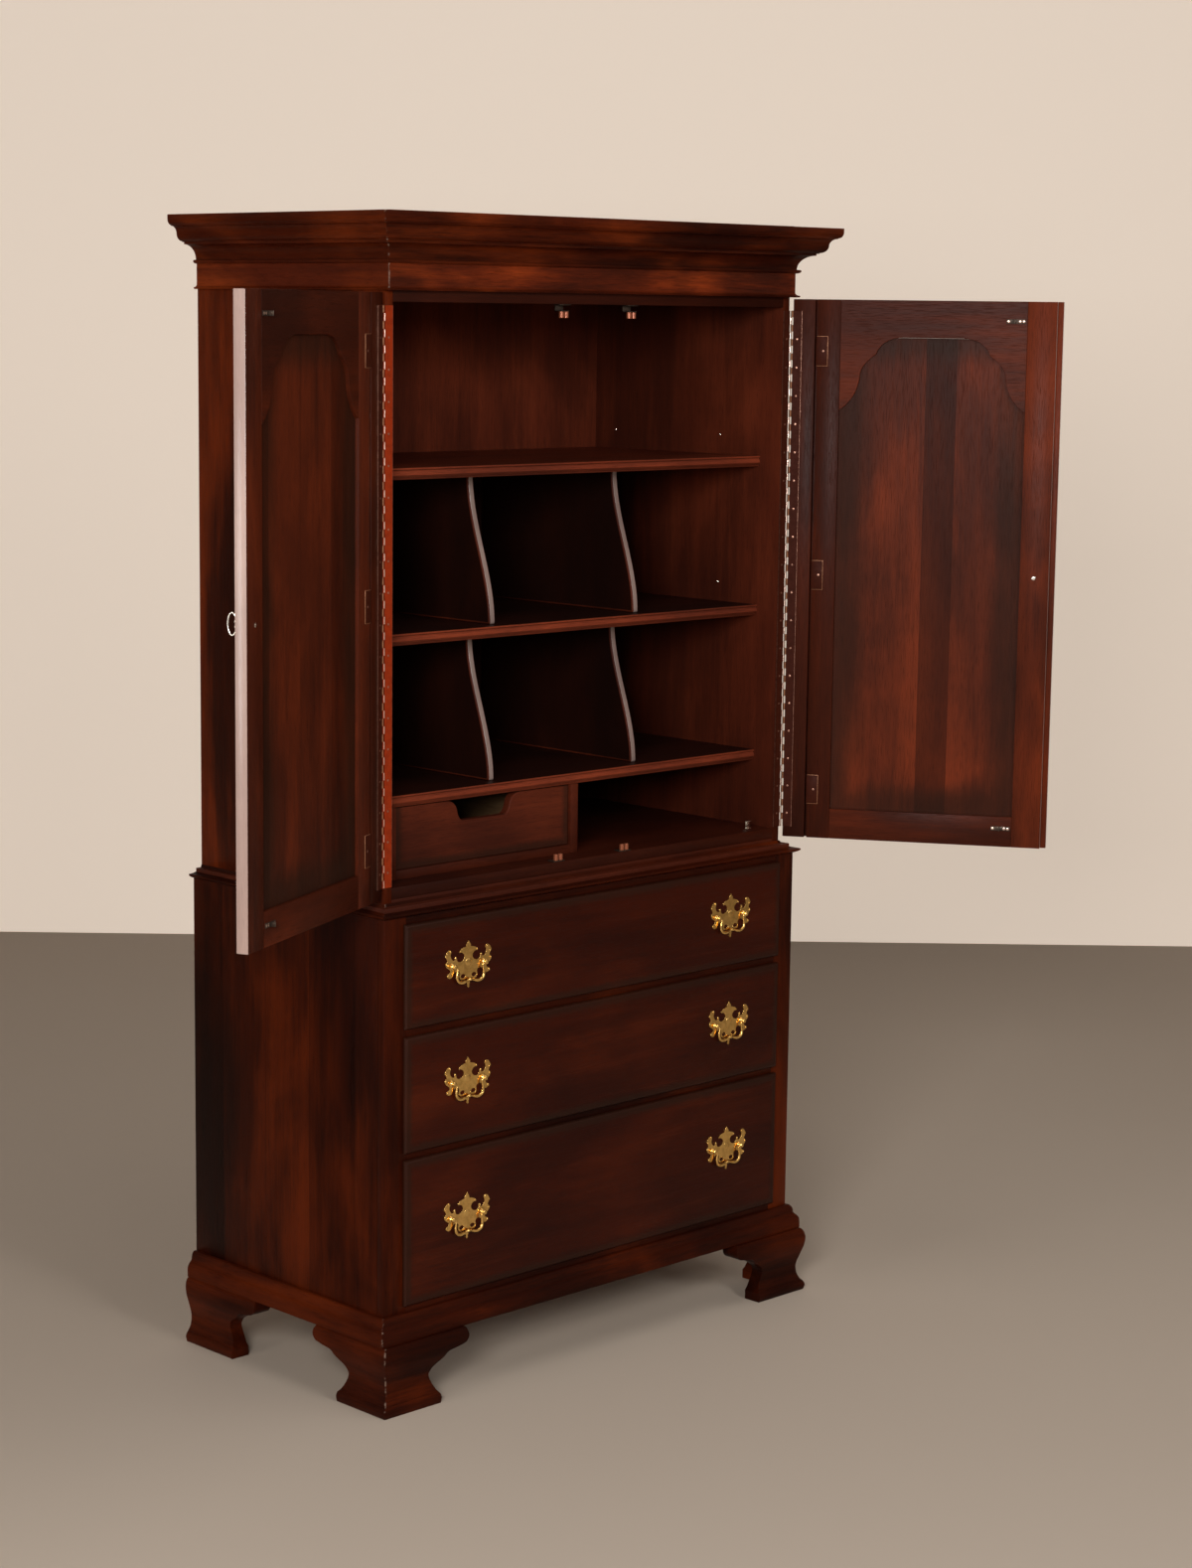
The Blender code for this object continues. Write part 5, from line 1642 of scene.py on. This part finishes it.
@dataclass
class Hinges:
    """Continuous hinge of one stile, and the three small hinges between the stile and its door."""

    side: int
    bottom: float = .881
    top: float = 1.82
    pitch: float = .0127
    knuckles: int = 37
    knuckle: tuple[Point, ...] = ((0, .0009), (.0004, .0013), (.0117, .0013), (.0121, .0009))
    knuckle_at: float = .0018
    # Spans from the hinge axis: a leaf, its rubbed arris and the tabs that carry its knuckles
    leaf_span: Point = (.0034, .0195)
    arris_span: Point = (.0192, .0196)
    tab_span: Point = (.0024, .0036)
    case_y: Point = (.0202, .0211)
    stile_y: Point = (.0189, .0198)
    screws: int = 18
    screw_pitch: float = .0508
    screw_at: float = .011
    screw_low: float = .025
    screw_radius: float = .0026
    wrap_heights: tuple[float, ...] = (1.749, 1.346, .952)
    wrap_tall: float = .0535
    wrap_axis: float = .04555
    wrap_out: float = .0015
    wrap_screw: float = .059
    # Spans of a small hinge's edge, rim and face, and the lengths of its outer barrels and the middle one
    edge_span: Point = (.0463, .0475)
    rim_span: Point = (.047, .0675)
    face_span: Point = (.0466, .0668)
    barrels: Point = (.0176, .0175)
    middle_up: float = .018

    def leaf(self, shop: Workshop, name: str, faces: Point, first: int, inward: float) -> Piece:
        """Builds one leaf with every other knuckle and its screws.

        Args:
            shop: the workshop.
            name: its name.
            faces: the leaf's front and back.
            first: 0 or 1, the knuckle that it starts with.
            inward: the way that its screws face.
        Returns:
            The leaf.
        """
        side, tall = self.side, (self.bottom, self.top)
        # Painted light: the left case leaf gets the brighter red lacquer
        lacquer = shop.metal(HINGE_RED_LIT if side < 0 and not first else HINGE_DARK)
        # The knuckles' pale and orange metals are painted highlights
        bright = shop.metal(HINGE_RUB_AND_GLINT if first else HINGE_BRASS)
        start, end = self.leaf_span
        plate = board(name, (along(side, start), along(side, end)), faces, tall, .0002, 1)
        low = self.bottom + first * self.pitch + .0003
        barrel = turned("knuckle", (along(side, self.knuckle_at), AXIS_Y, low), (0, 0, 1), self.knuckle, 10)
        tab = door_board(side, "tab", self.tab_span, faces, (low, low + self.knuckle[-1][0]), 0)
        row = joined("knuckle", dipped(barrel, bright), dipped(tab, lacquer))
        repeated(row, self.knuckles, 2 * self.pitch)
        seat = (faces[1] if inward > 0 else faces[0]) - inward * .0003
        first_spot = (along(side, self.screw_at), seat, self.bottom + self.screw_low)
        heads = screw("screws", first_spot, (0, inward, 0), self.screw_radius)
        repeated(heads, self.screws, self.screw_pitch)
        arris = door_board(side, "arris", self.arris_span, (faces[0], faces[1] + .0001), tall, 0)
        worn = shop.metal(HINGE_WORN)
        parts = [dipped(plate, lacquer), row, dipped(heads, worn), dipped(arris, worn)]
        if not first:
            pin = turned("pin", (side * AXIS_X, AXIS_Y, self.bottom), (0, 0, 1),
                         [(0, .001), (self.top - self.bottom, .001)], 8)
            parts.append(dipped(pin, lacquer))
        return joined(name, *parts)

    def barrel(self, low: float, tall: float) -> Piece:
        """Builds one barrel of a small hinge.

        Args:
            low: the height of its foot.
            tall: its length.
        Returns:
            The barrel.
        """
        start = (along(self.side, self.wrap_axis), OUTER_FACE - self.wrap_out, low)
        line = [(0, .002), (.0005, .0025), (tall - .0005, .0025), (tall, .002)]
        return turned("barrel", start, (0, 0, 1), line, 14)

    def build(self, shop: Workshop) -> None:
        """Builds both leaves and the three small hinges.

        Args:
            shop: the workshop.
        """
        side, word = self.side, SIDE_NAME[self.side]
        lacquer, worn = shop.metal(HINGE_DARK), shop.metal(HINGE_WORN)
        case = self.leaf(shop, f"long_hinge_case_{word}", self.case_y, 0, -1)
        shop.hang(case, stands_for=(f"hinge_case_leaf_{word}",))
        moving = self.leaf(shop, f"long_hinge_stile_{word}", self.stile_y, 1, 1)
        shop.hang(moving, None, f"{word}_stile", side, (f"hinge_stile_leaf_{word}",))
        plank = partial(door_board, side)
        outside, inside = OUTER_FACE - self.wrap_out, INNER_FACE + self.wrap_out
        long, short = self.barrels
        for number, z in enumerate(self.wrap_heights, 1):
            low, high = z - self.wrap_tall / 2, z + self.wrap_tall / 2
            barrels = [self.barrel(bottom, long) for bottom in (low, high - long)]
            edge = plank("edge", self.edge_span, (outside, inside), (low, high), .0003)
            rim = plank("rim", self.rim_span, (INNER_FACE + GAP, inside - .0002), (low, high), .0002)
            face = plank("face", self.face_span, (INNER_FACE + .0006, inside),
                         (low + .0007, high - .0007), .0002)
            head = screw("screw", (along(side, self.wrap_screw), inside, z), (0, 1, 0), .0022)
            parts = [dipped(part, lacquer) for part in (*barrels, edge, face)]
            parts += [dipped(rim, shop.metal(HINGE_RUB_AND_GLINT)), dipped(head, worn)]
            shop.hang(joined(f"small_hinge_door_{word}_{number}", *parts), None, f"{word}_door",
                      side, (f"wrap_hinge_{word}_{number}",))
            middle = self.barrel(low + self.middle_up, short)
            shop.hang(middle, lacquer, f"{word}_stile", side)


@dataclass
class Catches:
    """Double-roller catches under the cornice rail and on the cupboard's bottom."""

    x: float = .08
    y: Point = (.0225, .039)
    drop: float = .01
    sheet: float = .0015
    roller: Point = (.0041, .011)
    plate_half: float = .013
    web_half: float = .0095
    screw_step: float = .0107
    screw_y: float = .0345
    roller_step: float = .0054
    top_seat: float = 1.8255
    bottom_seat: float = .8793

    def build(self, shop: Workshop) -> None:
        """Builds the four catches.

        Args:
            shop: the workshop.
        """
        metal, rolls = shop.metal(CATCH_METAL), shop.metal(ROLLERS)
        radius, tall = self.roller
        spindle = [(.0001, .0034), (.0007, radius), (tall - .0007, radius), (tall, .0034), (tall, .0016)]
        rows = (("top", self.top_seat, -1, self.drop), ("bottom", self.bottom_seat, 1, 0.0))
        for place, base, way, reach in rows:
            for side in (-1, 1):
                word, x = f"{place}_{SIDE_NAME[side]}", side * self.x
                seat, near = base + way * self.sheet, base + way * (reach + self.sheet)
                half = self.plate_half
                parts = [board("plate", (x - half, x + half), self.y, (base, seat), .0004)]
                if reach:
                    wide = (x - self.web_half, x + self.web_half)
                    parts.append(board("web", wide, (self.y[1] - self.sheet, self.y[1]), (base, near), .0004))
                    parts.append(board("seat", wide, self.y, (near - way * self.sheet, near), .0004))
                parts += [screw("screw", (x + step, self.screw_y, seat), (0, 0, way), .002)
                          for step in (-self.screw_step, self.screw_step)]
                shop.hang(joined(f"catch_plate_{word}", *parts), metal,
                          stands_for=(f"catch_{word}",))
                rollers = [turned("roller", (x + step, self.y[0] + radius, near), (0, 0, way), spindle, 18)
                           for step in (-self.roller_step, self.roller_step)]
                shop.hang(joined(f"catch_rollers_{word}", *rollers), rolls)


# The studio


@dataclass
class Studio:
    """Camera, floor, backdrop light and soft lamps."""

    place: tuple[float, float, float] = (-3.7106, -3.7541, 1.8133)
    yaw: float = -44.5363
    pitch: float = -8.6682
    roll: float = .7103
    lens: float = 71.05
    pale: Colour = (.76, .64, .53)
    wall_far: float = 8.9
    wall_size: float = 30
    wall_glow: float = .58
    floor_size: float = 24
    floor_spot: tuple[float, float, float] = (0, 4, -.0005)
    lamps: tuple[tuple, ...] = (
        ("key_box", (-3.95, -3.1, 2.35), (.1, .1, 1.2), (1.3, 1.3), .5),
        ("left_box", (-5.1, .15, 1.1), (-.6, -.1, 1.1), (1.0, 2.5), .2),
        ("front_box", (-.5, -5.0, 2.75), (0.0, .1, 1.5), (1.2, 1.2), .22),
        ("top_box", (.4, -1.2, 4.8), (.1, .1, 1.0), (2.4, 2.4), .18))

    def camera(self, origin: Vector) -> None:
        """Sets up the camera where the photograph was taken from.

        Args:
            origin: the case's origin in the frame.
        """
        yaw, pitch, roll = (math.radians(a) for a in (self.yaw, self.pitch, self.roll))
        ahead = Vector((-math.sin(yaw) * math.cos(pitch), math.cos(yaw) * math.cos(pitch), math.sin(pitch)))
        right = Vector((math.cos(yaw), math.sin(yaw), 0))
        up = right.cross(ahead)
        level = right * math.cos(roll) + up * math.sin(roll)
        upright = up * math.cos(roll) - right * math.sin(roll)
        bpy.ops.object.camera_add()
        camera = bpy.context.object
        frame = Matrix((level, upright, -ahead)).transposed().to_4x4()
        frame.translation = Vector(self.place) + origin
        camera.matrix_world = frame
        camera.data.lens = self.lens
        camera.data.sensor_width = 36.0
        camera.data.clip_end = 60.0
        camera.data.dof.use_dof = False
        bpy.context.scene.camera = camera

    def lamp(self, name: str, spot: Sequence[float], aim: Sequence[float], size: Point, level: float) -> None:
        """Hangs a soft box.

        Args:
            name: its name.
            spot: where it hangs.
            aim: the point that it faces.
            size: its width and height.
            level: how light a white face turned to it at the aim becomes.
        """
        clear_bench()
        bpy.ops.object.light_add(type="AREA", location=spot)
        lamp = bpy.context.object
        lamp.name = name
        way = Vector(aim) - Vector(spot)
        lamp.rotation_euler = way.to_track_quat("-Z", "Y").to_euler()
        lamp.data.shape = "RECTANGLE"
        lamp.data.size, lamp.data.size_y = size
        lamp.data.energy = level * math.pi ** 2 * way.length_squared

    def sky(self) -> None:
        """Gives the world its soft light, and the pale backdrop that the camera and the metal see."""
        world = bpy.data.worlds.new("studio")
        bpy.context.scene.world = world
        sheet = Sheet("studio", world)
        back = sheet.tree.nodes["Background"]
        camera, glossy, through = (sheet.node("ShaderNodeLightPath", {}, {}, f"Is {kind} Ray")
                                   for kind in ("Camera", "Glossy", "Transmission"))
        seen = camera.most(through).most(glossy * .5)
        sheet.feed(back.inputs["Color"], sheet.blend(seen, (.055, .052, .05), self.pale))
        back.inputs["Strength"].default_value = 1.0

    def painted(self, name: str, waves: float, share: float, colours: tuple[Colour, Colour],
                **inputs: object) -> None:
        """Args:
            name: its name.
            waves: how fine its clouds are.
            share: how strong they are.
            colours: its two colours.
            inputs: further sockets of its shader.
        """
        plane = bpy.context.object
        plane.name = name
        sheet = Sheet(name)
        cloud = sheet.grain_noise(sheet.place(), waves, 2, .5)
        if "Emission_Strength" in inputs:
            seen = sheet.node("ShaderNodeLightPath", {}, {}, "Is Camera Ray")
            inputs["Emission_Color"] = sheet.blend(seen, (0, 0, 0), self.pale)
        plane.data.materials.append(sheet.coat(Base_Color=sheet.blend(cloud * share, *colours), **inputs))

    def floor(self) -> None:
        """Lays the plain pale floor and puts up the wall behind it."""
        clear_bench()
        bpy.ops.mesh.primitive_plane_add(size=self.floor_size, location=self.floor_spot)
        self.painted("studio_floor", .8, .3, ((.68, .56, .45), (.62, .5, .39)),
                     Roughness=.6, Specular_IOR_Level=.2)
        clear_bench()
        ahead = Matrix.Rotation(math.radians(self.yaw), 3, "Z") @ Vector((0, self.wall_far, 0))
        spot = (self.place[0] + ahead.x, self.place[1] + ahead.y, 0)
        upright = (math.pi / 2, 0, math.radians(self.yaw))
        bpy.ops.mesh.primitive_plane_add(size=self.wall_size, location=spot, rotation=upright)
        self.painted("studio_wall", .5, .2, ((.66, .57, .49), (.6, .52, .44)),
                     Roughness=.8, Specular_IOR_Level=.1, Emission_Strength=self.wall_glow)

    def build(self, origin: Vector) -> None:
        """Sets up the whole studio.

        Args:
            origin: the case's origin in the frame.
        """
        self.camera(origin)
        self.floor()
        self.sky()
        for lamp in self.lamps:
            self.lamp(*lamp)
        bpy.context.scene.view_settings.view_transform = "Standard"


def main() -> None:
    """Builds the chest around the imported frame, piece by piece."""
    logging.basicConfig(level=logging.INFO, format="%(name)s: %(message)s")
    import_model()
    origin = Vector((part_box("lower_side_left")[0].x + LOWER_HALF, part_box("drawer_frame")[0].y, 0.0))
    shop = Workshop(origin)
    parts = (Feet(), LowerCase(), Cornice(), UpperCase(), Tray(), Drawers(), Door(-1), Door(1), Hinges(-1),
             Hinges(1), Catches())
    for part in parts:
        log.info("building %s", type(part).__name__)
        part.build(shop)
    Studio().build(origin)
    clear_bench()


if __name__ == "__main__":
    main()
